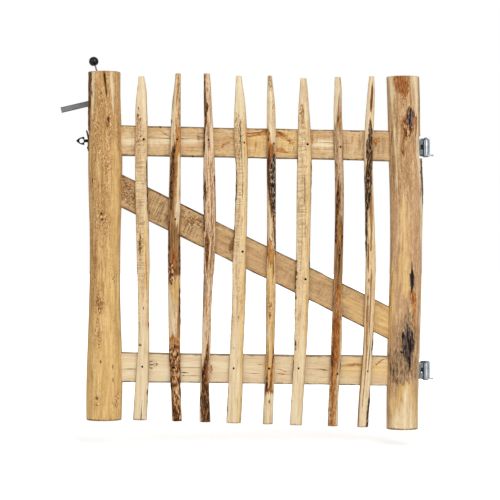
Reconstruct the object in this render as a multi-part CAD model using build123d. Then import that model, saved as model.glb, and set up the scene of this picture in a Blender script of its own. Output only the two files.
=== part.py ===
"""Chestnut paling garden gate: one leaf on two pintles with a fall-bar latch.

Lengths are in millimetres. The origin is the centre of the flat back face of the lower
hinge bracket. The leaf reaches towards -X, the viewer stands at -Y, +Z is up. Places
are worked out from the hinge axis, and every node is moved to the origin when written.
"""
from build123d import *
import math
import os

# Hinge pintles
pin_radius = 6.0
pin_running_gap = 0.1
pin_offset = 24.0            # bracket's back face to the hinge axis
hinge_spacing = 641.0        # lower bracket centre to upper bracket centre
bracket_thickness = 4.0
bracket_width = 28.0
bracket_height = 52.0
bracket_bend_radius = 3.0
bracket_corner_radius = 5.0
shelf_round_radius = 11.0
shelf_tongue_reach = 11.0    # round end's centre past the hinge axis, away from the leaf
screw_hole_radius = 2.75
screw_hole_spread = 18.0     # across the leg
screw_hole_spacing = 26.0    # up the leg
screw_hole_lift = 4.0        # middle of the holes above the bracket centre
pin_top_reach = 7.5          # pin above the barrel
pin_dome_radius = 5.0
rivet_radius = 8.0
rivet_height = 3.0
rivet_gap = 0.05

# Hinge eyes
barrel_radius = 10.5
barrel_height = 42.0
barrel_thrust_gap = 0.3
eye_plate_thickness = 4.0
eye_plate_width = 30.0
eye_plate_height = 48.0
eye_plate_corner_radius = 4.0
eye_standoff = 16.5          # pin axis to the plate's outer face
lug_thickness = 13.0
lug_width = 13.0
seat_height = 64.0

# Stiles
stile_diameter = 92.0
hinge_stile_offset = 62.0    # hinge axis to the hinge stile axis
stile_spacing = 861.0
hinge_stile_height = 1012.0
hinge_stile_foot_drop = 169.0
latch_stile_height = 1000.0
latch_stile_foot_drop = 143.0
stile_arris = 3.0

# Rails and brace
board_thickness = 24.0
tenon_depth = 38.0
mortise_gap = 0.3
top_rail_width = 88.0
bottom_rail_width = 87.0
brace_width = 87.0
top_rail_rise = 15.5         # latch end of the rail above its hinge end
bottom_rail_rise = 10.0
top_rail_lift = 3.0          # rail centre above the upper bracket, at the hinge stile
bottom_rail_drop = 1.5       # rail centre below the lower bracket, at the hinge stile
brace_foot_rise = 138.0      # above the bottom rail's centre
brace_head_drop = 143.0      # below the top rail's centre

# Pales
pale_width = 36.0
pale_depth = 22.0
pale_length = 1000.0
pale_pitch = 93.0
first_pale_offset = 110.5    # latch stile axis to the first pale
pale_foot_drop_latch = 142.0
pale_foot_drop_hinge = 162.0

# Latch
latch_pivot_drop = 75.0      # below the head of the latch stile
latch_plate_width = 34.0
latch_plate_height = 92.0
latch_plate_thickness = 3.0
latch_plate_corner_radius = 3.0
latch_seat_depth = 41.5      # stile axis to the planed seat
latch_seat_gap = 1.0
pivot_radius = 5.0
pivot_running_gap = 0.1
pivot_bury = 35.0
pivot_head_radius = 9.0
pivot_head_height = 5.0
spacer_radius = 9.0
spacer_length = 7.0
bar_side_gap = 0.3
bar_width = 16.0
bar_thickness = 5.0
bar_reach = 134.0
bar_hub_radius = 11.0
bar_droop = 13.3             # degrees below level, at rest on the staple
bar_lift = 38.0              # degrees of lift
stem_radius = 2.5
stem_weld_depth = 2.0
stem_reach = 116.3           # pivot to the knob's centre
stem_lean = 4.6              # degrees past square, towards the bar
knob_radius = 14.0
knob_flat_reach = 12.0       # knob centre to its flat
knob_socket_depth = 14.0
knob_socket_gap = 0.1
staple_offset = 13.5         # pivot to the middle of the staple
staple_width = 5.0
staple_thickness = 4.0
staple_side_gap = 1.5
staple_stop_gap = 0.3

# Padlock plate and eye
padlock_drop = 198.0         # below the head of the latch stile
padlock_plate_height = 59.0
padlock_plate_width = 26.0
padlock_plate_thickness = 3.0
padlock_wing_lean = 12.0     # degrees outward
padlock_seat_depth = 45.0    # stile axis to the planed seat
padlock_bend_rise = 6.0
eye_thickness = 5.0
eye_hole_radius = 6.4
eye_hole_reach = 18.5        # plate face to the hole's centre
eye_tip_reach = 34.0
eye_half_height = 11.8
eye_barb_reach = 10.5
eye_stem_half_height = 4.3
eye_bulge_reach = 22.0
eye_bulge_half_height = 9.2

# Hand-chosen forms, as shares: height of the station, sway to the right, width
stile_stations_share = (0.0, 0.09, 0.2, 0.3, 0.43, 0.56, 0.7, 0.83, 0.92, 1.0)
latch_stile_sway_share = (-0.02, -0.01, 0.0, 0.0, 0.01, 0.02, 0.02, 0.01, -0.01, -0.01)
latch_stile_width_share = (1.09, 1.13, 1.08, 1.0, 0.95, 0.98, 1.06, 1.04, 1.0, 1.0)
latch_stile_depth_share = (0.0, 0.01, 0.02, 0.02, 0.01, 0.0, -0.01, 0.0, 0.01, 0.01)
hinge_stile_sway_share = (-0.06, -0.055, -0.03, 0.0, 0.04, 0.06, 0.055, 0.0, -0.015, -0.04)
hinge_stile_width_share = (0.98, 1.0, 1.02, 1.02, 1.0, 1.0, 1.04, 1.0, 1.02, 1.02)
hinge_stile_depth_share = (0.0, 0.0, 0.0, -0.01, -0.02, -0.02, -0.01, 0.0, 0.0, 0.0)

pale_stations_share = (0.0, 0.09, 0.22, 0.35, 0.48, 0.74, 0.86, 0.93, 0.97, 1.0)
pale_depth_share = (0.95, 1.0, 1.0, 0.98, 1.0, 1.0, 0.96, 0.84, 0.7, 0.55)
pale_length_share = (0.985, 0.996, 0.999, 0.995, 0.998, 0.994, 1.0, 1.005)
pale_ridge_share = (0.22, -0.1, 0.08, 0.2, -0.08, 0.24, 0.05, -0.15)
pale_sway_share = (
    (-0.09, -0.03, 0.03, 0.03, 0.015, -0.045, -0.04, -0.045, -0.03, -0.045),
    (0.055, 0.015, -0.015, -0.025, -0.03, 0.0, 0.02, 0.045, 0.075, 0.09),
    (-0.075, -0.09, -0.045, -0.01, 0.05, 0.045, 0.02, -0.005, -0.01, -0.03),
    (-0.2, -0.15, -0.105, -0.045, -0.02, 0.05, 0.0, -0.01, -0.03, -0.045),
    (-0.15, -0.115, -0.07, -0.055, -0.04, -0.04, -0.04, -0.055, -0.07, -0.085),
    (-0.285, -0.225, -0.15, -0.1, -0.07, -0.025, -0.025, -0.04, -0.04, -0.055),
    (-0.15, -0.115, -0.04, 0.0, 0.03, 0.05, 0.02, 0.01, 0.02, 0.005),
    (-0.235, -0.175, -0.07, -0.005, 0.025, -0.045, -0.015, 0.025, 0.045, 0.055),
)
pale_width_share = (
    (1.11, 1.11, 0.95, 0.95, 1.03, 1.03, 1.0, 0.88, 0.68, 0.44),
    (0.78, 0.8, 0.95, 1.02, 1.03, 0.88, 0.8, 0.64, 0.5, 0.42),
    (0.88, 0.8, 0.72, 0.74, 0.92, 0.92, 0.72, 0.61, 0.56, 0.48),
    (1.15, 1.19, 1.11, 1.11, 1.07, 0.98, 1.03, 0.8, 0.58, 0.46),
    (0.8, 0.8, 0.72, 0.8, 0.74, 0.74, 0.74, 0.64, 0.46, 0.34),
    (0.99, 0.98, 1.03, 1.11, 1.11, 1.19, 1.03, 0.8, 0.64, 0.5),
    (0.8, 0.8, 0.88, 0.77, 0.72, 0.72, 0.72, 0.64, 0.56, 0.46),
    (0.88, 0.88, 0.8, 0.84, 0.8, 0.72, 0.72, 0.64, 0.56, 0.42),
)
pale_back_share = 0.42       # half width of a pale's flat back
pale_shoulder_share = 0.5    # half width at the shoulders
pale_shoulder_depth_share = 0.42
pale_cheek_share = 0.62      # from the shoulder to the ridge, where the cheek turns
pale_cheek_depth_share = 0.86
plank_waist_share = 0.97     # middle width of a board

# Places that follow from the sizes
hinge_stile_x = -hinge_stile_offset
latch_stile_x = -hinge_stile_offset - stile_spacing
top_rail_height = hinge_spacing + top_rail_lift
bottom_rail_height = -bottom_rail_drop
brace_head_height = top_rail_height + top_rail_rise - brace_head_drop
brace_foot_height = bottom_rail_height + brace_foot_rise
latch_stile_head = latch_stile_height - latch_stile_foot_drop
latch_pivot_height = latch_stile_head - latch_pivot_drop
padlock_height = latch_stile_head - padlock_drop
shelf_top = -bracket_height / 2 + bracket_thickness
barrel_foot = shelf_top + barrel_thrust_gap
barrel_top = barrel_foot + barrel_height
eye_face_x = -eye_standoff
board_front = -board_thickness / 2

os.makedirs("parts", exist_ok=True)


def save(name, solid):
    """Write one node, moved so that the lower bracket's back face is the origin."""
    solid = Pos(0, -pin_offset, 0) * solid
    solid.label = name
    export_step(solid, "parts/" + name + ".step")


def block(x_low, x_high, y_low, y_high, z_low, z_high):
    """A plain block between two corners."""
    middle = ((x_low + x_high) / 2, (y_low + y_high) / 2, (z_low + z_high) / 2)
    return Pos(*middle) * Box(x_high - x_low, y_high - y_low, z_high - z_low)


def rod(start, end, radius):
    """A round bar between two points."""
    run = Vector(*end) - Vector(*start)
    return extrude(Plane(origin=start, z_dir=run) * Circle(radius), run.length)


def pole(axis_x, foot, height, sway, width, depth):
    """A natural pole, lofted through round sections that sway and swell."""
    sections = []
    for share, x_share, w_share, y_share in zip(stile_stations_share, sway, width, depth):
        place = (axis_x + x_share * stile_diameter, y_share * stile_diameter, foot + share * height)
        sections.append(Plane(origin=place) * Circle(w_share * stile_diameter / 2))
    body = loft(sections)
    ends = body.faces().filter_by(GeomType.PLANE).edges()
    return chamfer(ends, stile_arris)


def plank(start_x, start_z, end_x, end_z, width, grow):
    """A sawn board between two points, a little waisted; grow makes its mortise."""
    run = Vector(end_x - start_x, 0, end_z - start_z)
    frame = Plane(origin=(start_x, 0, start_z), x_dir=run, z_dir=(0, -1, 0))
    half = width / 2 + grow
    waist = width * plank_waist_share / 2 + grow
    low, middle, high = -grow, run.length / 2, run.length + grow
    upper = Spline((low, half), (middle, waist), (high, half))
    lower = Spline((high, -half), (middle, -waist), (low, -half))
    outline = Curve() + [upper, Line(upper @ 1, lower @ 0), lower, Line(lower @ 1, upper @ 0)]
    face = make_face(outline)
    return frame * extrude(face, board_thickness / 2 + grow, both=True)


def pale(number):
    """A cleft pale: flat back on the boards, ridged front, blunt tapered tip."""
    across = number / (len(pale_length_share) - 1)
    foot = -pale_foot_drop_latch - across * (pale_foot_drop_hinge - pale_foot_drop_latch)
    base_x = latch_stile_x + first_pale_offset + number * pale_pitch
    length = pale_length * pale_length_share[number]
    ridge = pale_ridge_share[number]
    sections = []
    for station, share in enumerate(pale_stations_share):
        middle = base_x + pale_sway_share[number][station] * pale_pitch
        width = pale_width * pale_width_share[number][station]
        depth = pale_depth * pale_depth_share[station]
        back = width * pale_back_share
        shoulder = width * pale_shoulder_share
        right_cheek = shoulder + (ridge * width - shoulder) * pale_cheek_share
        left_cheek = -shoulder + (ridge * width + shoulder) * pale_cheek_share
        step = depth * pale_shoulder_depth_share
        turn = depth * pale_cheek_depth_share
        outline = Polyline(
            (-back, 0), (back, 0), (shoulder, -step), (right_cheek, -turn),
            (ridge * width, -depth), (left_cheek, -turn), (-shoulder, -step), close=True)
        plane = Plane(origin=(middle, board_front, foot + share * length))
        sections.append(plane * make_face(outline))
    return loft(sections)


def hinge_eye(height):
    """Seat plate, two lugs and a barrel, welded into one piece."""
    foot, top = height + barrel_foot, height + barrel_top
    middle = (foot + top) / 2
    plate = block(eye_face_x - eye_plate_thickness, eye_face_x,
                  -eye_plate_width / 2, eye_plate_width / 2,
                  middle - eye_plate_height / 2, middle + eye_plate_height / 2)
    plate = fillet(plate.edges().filter_by(Axis.X), eye_plate_corner_radius)
    barrel = rod((0, 0, foot), (0, 0, top), barrel_radius)
    lug_low = block(eye_face_x, 0, -lug_width / 2, lug_width / 2, foot, foot + lug_thickness)
    lug_high = block(eye_face_x, 0, -lug_width / 2, lug_width / 2, top - lug_thickness, top)
    bore = rod((0, 0, foot), (0, 0, top), pin_radius + pin_running_gap)
    return plate + barrel + lug_low + lug_high - bore


def bracket(height):
    """Angle bracket: upright leg behind the barrel, shelf with a round-ended tongue under it."""
    low, high = height - bracket_height / 2, height + bracket_height / 2
    half_width = bracket_width / 2
    leg_front, leg_back = pin_offset - bracket_thickness, pin_offset
    leg = block(-half_width, half_width, leg_front, leg_back, low, high)
    tops = leg.edges().filter_by(Axis.Y).group_by(Axis.Z)[-1]
    leg = fillet(tops, bracket_corner_radius)
    shelf_height = low + bracket_thickness
    root = block(-half_width, half_width, leg_front, leg_back, low, shelf_height)
    end = Circle(shelf_round_radius)
    heel = Pos(0, (leg_front + leg_back) / 2) * Rectangle(bracket_width, bracket_thickness)
    shelf = extrude(Pos(0, 0, low) * make_hull(end.edges() + heel.edges()), bracket_thickness)
    body = leg + root + shelf
    across = body.edges().filter_by(Axis.X)
    outer = across.filter_by_position(Axis.Z, low, low).sort_by(Axis.Y)[-1]
    body = fillet(outer, bracket_thickness + bracket_bend_radius)
    across = body.edges().filter_by(Axis.X)
    inner = across.filter_by_position(Axis.Z, shelf_height, shelf_height).sort_by(Axis.Y)[-1]
    body = fillet(inner, bracket_bend_radius)
    tip = Pos(shelf_tongue_reach, 0) * Circle(shelf_round_radius)
    body += extrude(Pos(0, 0, low) * make_hull(end.edges() + tip.edges()), bracket_thickness)
    for row_share in (-0.5, 0.5):
        hole_z = height + screw_hole_lift + row_share * screw_hole_spacing
        for side_share in (-0.5, 0.5):
            hole_x = side_share * screw_hole_spread
            body -= rod((hole_x, leg_front, hole_z), (hole_x, leg_back, hole_z), screw_hole_radius)
    pin_hole = rod((0, 0, low), (0, 0, shelf_height), pin_radius + rivet_gap)
    return body - pin_hole


def hinge_pin(height):
    """Upright pin with a domed head, riveted under the shelf."""
    low = height - bracket_height / 2
    top = height + barrel_top + pin_top_reach
    shank = rod((0, 0, low), (0, 0, top), pin_radius)
    shank = fillet(shank.edges().filter_by(GeomType.CIRCLE).sort_by(Axis.Z)[-1], pin_dome_radius)
    rivet = rod((0, 0, low - rivet_height), (0, 0, low), rivet_radius)
    rim = rivet.edges().filter_by(GeomType.CIRCLE).sort_by(Axis.Z)[0]
    rivet = fillet(rim, rivet_height / 2)
    return shank + rivet


# Boards
rail_start_x = latch_stile_x + stile_diameter / 2 - tenon_depth
rail_end_x = hinge_stile_x - stile_diameter / 2 + tenon_depth
boards = {
    "top_rail": (top_rail_height + top_rail_rise, top_rail_height, top_rail_width),
    "bottom_rail": (bottom_rail_height + bottom_rail_rise, bottom_rail_height, bottom_rail_width),
    "diagonal_brace": (brace_head_height, brace_foot_height, brace_width),
}
tenon_run_share = tenon_depth / (rail_end_x - rail_start_x - 2 * tenon_depth)
mortises = []
for name, (start_z, end_z, width) in boards.items():
    over = (end_z - start_z) * tenon_run_share
    ends = (rail_start_x, start_z - over, rail_end_x, end_z + over)
    save(name, plank(*ends, width, 0))
    mortises.append(plank(*ends, width, mortise_gap))

# Stiles
latch_stile = pole(latch_stile_x, -latch_stile_foot_drop, latch_stile_height,
                   latch_stile_sway_share, latch_stile_width_share, latch_stile_depth_share)
hinge_stile = pole(hinge_stile_x, -hinge_stile_foot_drop, hinge_stile_height,
                   hinge_stile_sway_share, hinge_stile_width_share, hinge_stile_depth_share)
for mortise in mortises:
    latch_stile -= mortise
    hinge_stile -= mortise

# Planed seats for the hinge eyes
eye_seat_x = eye_face_x - eye_plate_thickness
for height in (0, hinge_spacing):
    middle = height + (barrel_foot + barrel_top) / 2
    hinge_stile -= block(eye_seat_x, 0, -stile_diameter, stile_diameter,
                         middle - seat_height / 2, middle + seat_height / 2)

# Planed seats for the latch plate and the padlock plate
plate_low = latch_pivot_height - latch_plate_height / 2
plate_high = latch_pivot_height + latch_plate_height / 2
latch_stile -= block(latch_stile_x - stile_diameter, latch_stile_x + stile_diameter,
                     latch_seat_depth, stile_diameter,
                     plate_low - latch_seat_gap, plate_high + latch_seat_gap)
padlock_seat_x = latch_stile_x - padlock_seat_depth
padlock_low = padlock_height - padlock_plate_height / 2
padlock_high = padlock_height + padlock_plate_height / 2
latch_stile -= block(padlock_seat_x - stile_diameter, padlock_seat_x,
                     -stile_diameter, stile_diameter,
                     padlock_low - latch_seat_gap, padlock_high + latch_seat_gap)

# Latch plate, spacer, pivot bolt and staple
plate_back = latch_seat_depth + latch_plate_thickness
spacer_back = plate_back + spacer_length
bar_front = spacer_back + bar_side_gap
bar_back = bar_front + bar_thickness
head_front = bar_back + bar_side_gap
pivot_front = latch_seat_depth - pivot_bury


def on_pivot(depth):
    """A point on the latch pivot's axis."""
    return (latch_stile_x, depth, latch_pivot_height)


latch_stile -= rod(on_pivot(pivot_front), on_pivot(latch_seat_depth), pivot_radius + rivet_gap)
save("latch_stile", latch_stile)
save("hinge_stile", hinge_stile)

latch_plate = block(latch_stile_x - latch_plate_width / 2, latch_stile_x + latch_plate_width / 2,
                    latch_seat_depth, plate_back, plate_low, plate_high)
latch_plate = fillet(latch_plate.edges().filter_by(Axis.Y), latch_plate_corner_radius)
latch_plate -= rod(on_pivot(latch_seat_depth), on_pivot(plate_back), pivot_radius + rivet_gap)
save("latch_plate", latch_plate)

spacer = rod(on_pivot(plate_back), on_pivot(spacer_back), spacer_radius)
spacer -= rod(on_pivot(plate_back), on_pivot(spacer_back), pivot_radius + rivet_gap)
save("latch_spacer", spacer)

bolt = rod(on_pivot(pivot_front), on_pivot(head_front), pivot_radius)
head = rod(on_pivot(head_front), on_pivot(head_front + pivot_head_height), pivot_head_radius)
head = fillet(head.edges().filter_by(GeomType.CIRCLE).sort_by(Axis.Y)[-1], pivot_head_height / 2)
save("latch_pivot_bolt", bolt + head)

droop = math.radians(bar_droop)
raised = math.radians(bar_lift - bar_droop)
staple_far = staple_offset + staple_width / 2
staple_low = -staple_far * math.tan(droop) - bar_width / 2 / math.cos(droop) - staple_stop_gap
staple_high = staple_far * math.tan(raised) + bar_width / 2 / math.cos(raised) + staple_stop_gap
staple_x = latch_stile_x - staple_offset
staple_left, staple_right = staple_x - staple_width / 2, staple_x + staple_width / 2
bridge_front = bar_back + staple_side_gap
bridge_back = bridge_front + staple_thickness
staple_inner_low = latch_pivot_height + staple_low
staple_inner_high = latch_pivot_height + staple_high
staple = block(staple_left, staple_right, plate_back, bridge_back,
               staple_inner_low - staple_thickness, staple_inner_high + staple_thickness)
staple = fillet(staple.edges().filter_by(Axis.X).group_by(Axis.Y)[-1], staple_thickness)
staple -= block(staple_left, staple_right, plate_back, bridge_front,
                staple_inner_low, staple_inner_high)
save("latch_staple", staple)

# Latch lever: bar, stem leaning a little over it, ball knob
lever = Pos(latch_stile_x, 0, latch_pivot_height) * Rot(0, -bar_droop, 0)
lean = Rot(0, -stem_lean, 0)
bar_middle = (bar_front + bar_back) / 2
bar = block(-bar_reach, 0, bar_front, bar_back, -bar_width / 2, bar_width / 2)
bar += rod((0, bar_front, 0), (0, bar_back, 0), bar_hub_radius)
bar -= rod((0, bar_front, 0), (0, bar_back, 0), pivot_radius + pivot_running_gap)
stem_foot = bar_hub_radius - stem_weld_depth
stem_top = stem_reach - knob_flat_reach + knob_socket_depth
stem_socket = rod((0, bar_middle, stem_foot), (0, bar_middle, bar_hub_radius), stem_radius + rivet_gap)
save("latch_bar", lever * (bar - lean * stem_socket))
save("latch_stem", lever * lean * rod((0, bar_middle, stem_foot), (0, bar_middle, stem_top), stem_radius))
knob = Pos(0, bar_middle, stem_reach) * Sphere(knob_radius)
flat_z = stem_reach - knob_flat_reach
knob -= block(-knob_radius, knob_radius, bar_middle - knob_radius, bar_middle + knob_radius,
              flat_z - knob_radius, flat_z)
knob -= rod((0, bar_middle, flat_z), (0, bar_middle, stem_top), stem_radius + knob_socket_gap)
save("ball_knob", lever * lean * knob)

# Padlock plate with its upper wing bent outward
plate_face_x = padlock_seat_x - padlock_plate_thickness
bend_z = padlock_height + padlock_bend_rise
flat_part = block(plate_face_x, padlock_seat_x, -padlock_plate_width / 2, padlock_plate_width / 2,
                  padlock_low, bend_z)
wing_rise = padlock_high - bend_z
wing_shift = wing_rise * math.tan(math.radians(padlock_wing_lean))
wing_outline = Polyline(
    (plate_face_x, bend_z), (padlock_seat_x, bend_z),
    (padlock_seat_x - wing_shift, padlock_high), (plate_face_x - wing_shift, padlock_high),
    close=True)
wing = Plane.XZ * extrude(make_face(wing_outline), padlock_plate_width / 2, both=True)
padlock_plate = flat_part + wing
save("padlock_plate", padlock_plate)

# Spade-shaped eye
crown = ThreePointArc((-eye_barb_reach, eye_half_height),
                      (-eye_bulge_reach, eye_bulge_half_height), (-eye_tip_reach, 0))
belly = ThreePointArc((-eye_tip_reach, 0),
                      (-eye_bulge_reach, -eye_bulge_half_height), (-eye_barb_reach, -eye_half_height))
inner_edge = Polyline((-eye_barb_reach, -eye_half_height), (-eye_barb_reach, -eye_stem_half_height),
                      (0, -eye_stem_half_height), (0, eye_stem_half_height),
                      (-eye_barb_reach, eye_stem_half_height), (-eye_barb_reach, eye_half_height))
spade = make_face(Curve() + [crown, belly, inner_edge])
spade -= Pos(-eye_hole_reach, 0) * Circle(eye_hole_radius)
spade_plane = Plane(origin=(plate_face_x, 0, padlock_height), x_dir=(1, 0, 0), z_dir=(0, -1, 0))
save("padlock_eye", spade_plane * extrude(spade, eye_thickness / 2, both=True))

# Pales
for number in range(len(pale_length_share)):
    save("pale_" + str(number + 1), pale(number))

# Hinges
for name, height in (("lower", 0), ("upper", hinge_spacing)):
    save(name + "_hinge_eye", hinge_eye(height))
    save(name + "_hinge_bracket", bracket(height))
    save(name + "_hinge_pin", hinge_pin(height))
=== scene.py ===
import math

import bpy
import numpy as np
from bpy.props import FloatProperty, FloatVectorProperty, IntProperty, PointerProperty
from bpy.types import Operator, Panel, PropertyGroup
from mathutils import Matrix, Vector


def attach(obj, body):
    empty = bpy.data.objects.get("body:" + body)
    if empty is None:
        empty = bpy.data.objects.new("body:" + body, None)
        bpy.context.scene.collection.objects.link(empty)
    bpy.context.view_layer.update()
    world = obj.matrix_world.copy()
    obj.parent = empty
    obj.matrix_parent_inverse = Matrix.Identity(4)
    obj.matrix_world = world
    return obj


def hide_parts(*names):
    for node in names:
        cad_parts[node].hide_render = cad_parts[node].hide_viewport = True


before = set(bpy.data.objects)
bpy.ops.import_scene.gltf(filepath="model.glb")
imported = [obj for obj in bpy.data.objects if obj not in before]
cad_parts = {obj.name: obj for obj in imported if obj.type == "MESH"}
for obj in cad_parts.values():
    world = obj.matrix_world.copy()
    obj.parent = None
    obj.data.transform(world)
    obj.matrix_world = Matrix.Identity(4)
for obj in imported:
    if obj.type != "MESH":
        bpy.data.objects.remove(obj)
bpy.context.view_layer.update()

bl_info = {
    "name": "Chestnut garden gate",
    "version": (1, 0, 0),
    "blender": (4, 5, 0),
    "location": "View3D > Sidebar > Gate",
    "description": "Dresses the packed gate in peeled poles, sawn boards, cleft pales and plated fittings",
    "category": "Object",
}

MM = 0.001

# Kinds of marks that the wood carries
FIELDS = ("bark", "rind", "rust", "brown", "resin", "stain", "knot", "split", "gold", "cream", "pits",
          "hatch")

# Steps in the seed that give each piece its own relief and its own colouring
POLE_SEED_STEP = 100
BOARD_SEED, BOARD_SEED_STEP, BOARD_COLOUR_SEED = 300, 40, 20
PALE_SEED, PALE_SEED_STEP, PALE_COLOUR_SEED = 500, 30, 40

# Grid counts of the surfaces
POLE_ROWS, POLE_TURNS = 330, 240
BOARD_ROWS, BOARD_FACE, BOARD_BACK, BOARD_EDGE, BOARD_CORNER = 320, 60, 14, 6, 3
PALE_ROWS, PALE_SIDE = 335, 10

# Forms of the poles and pales. Stations are shares of the height, a pole's sway, width and depth are shares
# of its diameter, a pale's sway is a share of the pitch, its width and depth of the nominal ones.
STILE_STATIONS = (0.0, 0.09, 0.2, 0.3, 0.43, 0.56, 0.7, 0.83, 0.92, 1.0)
STILE_FORMS = {
    "latch_stile": {
        "axis": -0.923, "foot": -0.143, "height": 1.0,
        "sway": (-0.02, -0.01, 0.0, 0.0, 0.01, 0.02, 0.02, 0.01, -0.01, -0.01),
        "width": (1.09, 1.13, 1.08, 1.0, 0.95, 0.98, 1.06, 1.04, 1.0, 1.0),
        "depth": (0.0, 0.01, 0.02, 0.02, 0.01, 0.0, -0.01, 0.0, 0.01, 0.01),
    },
    "hinge_stile": {
        "axis": -0.062, "foot": -0.169, "height": 1.012,
        "sway": (-0.06, -0.055, -0.03, 0.0, 0.04, 0.06, 0.055, 0.0, -0.015, -0.04),
        "width": (0.98, 1.0, 1.02, 1.02, 1.0, 1.0, 1.04, 1.0, 1.02, 1.02),
        "depth": (0.0, 0.0, 0.0, -0.01, -0.02, -0.02, -0.01, 0.0, 0.0, 0.0),
    },
}
STILE_DIAMETER = 0.092

# Flats planed on the poles for their fittings: from height, to height, side, plane
SEATS = {
    "latch_stile": ((0.735, 0.829, "+y", 0.0175), (0.6285, 0.6895, "-x", -0.968)),
    "hinge_stile": ((-0.0327, 0.0313, "+x", -0.0205), (0.6083, 0.6723, "+x", -0.0205)),
}

PALE_STATIONS = (0.0, 0.09, 0.22, 0.35, 0.48, 0.74, 0.86, 0.93, 0.97, 1.0)
PALE_DEPTHS = (0.95, 1.0, 1.0, 0.98, 1.0, 1.0, 0.96, 0.84, 0.7, 0.55)
PALE_LENGTHS = (0.985, 0.996, 0.999, 0.995, 0.998, 0.994, 1.0, 1.005)
PALE_RIDGES = (0.22, -0.1, 0.08, 0.2, -0.08, 0.24, 0.05, -0.15)
PALE_SWAYS = (
    (-0.09, -0.03, 0.03, 0.03, 0.015, -0.045, -0.04, -0.045, -0.03, -0.045),
    (0.055, 0.015, -0.015, -0.025, -0.03, 0.0, 0.02, 0.045, 0.075, 0.09),
    (-0.075, -0.09, -0.045, -0.01, 0.05, 0.045, 0.02, -0.005, -0.01, -0.03),
    (-0.2, -0.15, -0.105, -0.045, -0.02, 0.05, 0.0, -0.01, -0.03, -0.045),
    (-0.15, -0.115, -0.07, -0.055, -0.04, -0.04, -0.04, -0.055, -0.07, -0.085),
    (-0.285, -0.225, -0.15, -0.1, -0.07, -0.025, -0.025, -0.04, -0.04, -0.055),
    (-0.15, -0.115, -0.04, 0.0, 0.03, 0.05, 0.02, 0.01, 0.02, 0.005),
    (-0.235, -0.175, -0.07, -0.005, 0.025, -0.045, -0.015, 0.025, 0.045, 0.055),
)
PALE_WIDTHS = (
    (1.11, 1.11, 0.95, 0.95, 1.03, 1.03, 1.0, 0.88, 0.68, 0.44),
    (0.78, 0.8, 0.95, 1.02, 1.03, 0.88, 0.8, 0.64, 0.5, 0.42),
    (0.88, 0.8, 0.72, 0.74, 0.92, 0.92, 0.72, 0.61, 0.56, 0.48),
    (1.15, 1.19, 1.11, 1.11, 1.07, 0.98, 1.03, 0.8, 0.58, 0.46),
    (0.8, 0.8, 0.72, 0.8, 0.74, 0.74, 0.74, 0.64, 0.46, 0.34),
    (0.99, 0.98, 1.03, 1.11, 1.11, 1.19, 1.03, 0.8, 0.64, 0.5),
    (0.8, 0.8, 0.88, 0.77, 0.72, 0.72, 0.72, 0.64, 0.56, 0.46),
    (0.88, 0.88, 0.8, 0.84, 0.8, 0.72, 0.72, 0.64, 0.56, 0.42),
)
PALE_WIDTH, PALE_DEPTH, PALE_LENGTH, PALE_PITCH = 0.036, 0.022, 1.0, 0.093
PALE_FOOT, PALE_FOOT_DROP = -0.142, 0.02     # the feet step down from the first pale to the last
PALE_ARRIS = 1.2 * MM
PALE_COUNT = 8

# How strongly the saw left its ripple on a pale
SAWN_PALES = {1: 1.0, 4: 1.0, 6: 1.0, 8: 0.3}

LEAF_Y = -0.024              # middle plane of the leaf
BOARD_FRONT = LEAF_Y - 0.012
FIRST_PALE_X = -0.8125

# Boards: latch end and hinge end (x, z), and width
BOARDS = {
    "top_rail": ((-0.915, 0.66027), (-0.07, 0.64323), 0.088),
    "bottom_rail": ((-0.915, 0.00899), (-0.07, -0.00199), 0.087),
    "diagonal_brace": ((-0.915, 0.53527), (-0.07, 0.11773), 0.087),
}
BOARD_THICKNESS = 0.024
BOARD_ROUND = 2.2 * MM       # radius along the edges
BOARD_ARRIS = 1.0 * MM       # radius at the ends
BOARD_WAIST = 0.03           # share by which a board narrows in the middle
BOARD_TRIM = 0.002           # share left off each end for its arris

# Reach of the painted shade and dirt at feet and along cut edges, across a pale as a share of its half width
POLE_FOOT_SHADE, BOARD_EDGE_SHADE_AND_DIRT, PALE_FOOT_SHADE_AND_DIRT, PALE_SIDE_SHADE_AND_DIRT = 6.0 * MM, 5.5 * MM, 5.0 * MM, 0.16

# Edges sharper than this are drawn as edges, on the wood and on the fasteners
WOOD_SHARP, HEAD_SHARP = math.radians(50), math.radians(40)

# Places of the fittings
NAIL_FRONT = 0.004                           # least distance of a nail head before the boards
LATCH_PIVOT_X, LATCH_PIVOT_Z = -0.923, 0.782
LATCH_SLOPE = math.radians(13.3)             # rise of the latch bar towards its pivot
LATCH_PLATE_BACK = 0.0205
LATCH_SCREW_X, LATCH_SCREW_Z = 0.011, 0.038  # of the plate's screws from the pivot
HINGE_LEVELS = (-0.0007, 0.6403)
EYE_PLATE_X = -0.0165
EYE_SCREW_Y, EYE_SCREW_Z = 0.0115, 0.017     # of the eye plate's screws from its middle
EYE_SCREW_RADIUS = 0.0026
PADLOCK_PLATE_X, PADLOCK_Z = -0.971, 0.659
PADLOCK_SCREW_Y, PADLOCK_SCREW_DROP = 0.006, 0.02
PADLOCK_SCREW_RADIUS = 0.0035

# Marks on the wood. Each is a kind and a ribbon of stations (share of the piece's height or length, middle
# across, half width). Across is in turns on a pole (0 front, -0.25 left) and from -1 to 1 on a pale or board.
MARK_CLOSING = 0.006         # share of the piece over which a mark's ends close
MARK_WANDER = 0.3            # how far a slow noise moves its edges
MOST_FRAY, FRAY_SHARE = 0.012, 0.15  # the farthest shift of a fibre: of the piece, and of the mark's length


def spot(kind, share, across, reach, half):
    """A small round mark as a ribbon of three stations."""
    return kind, (share - reach, across, 0.0), (share, across, half), (share + reach, across, 0.0)


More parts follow.
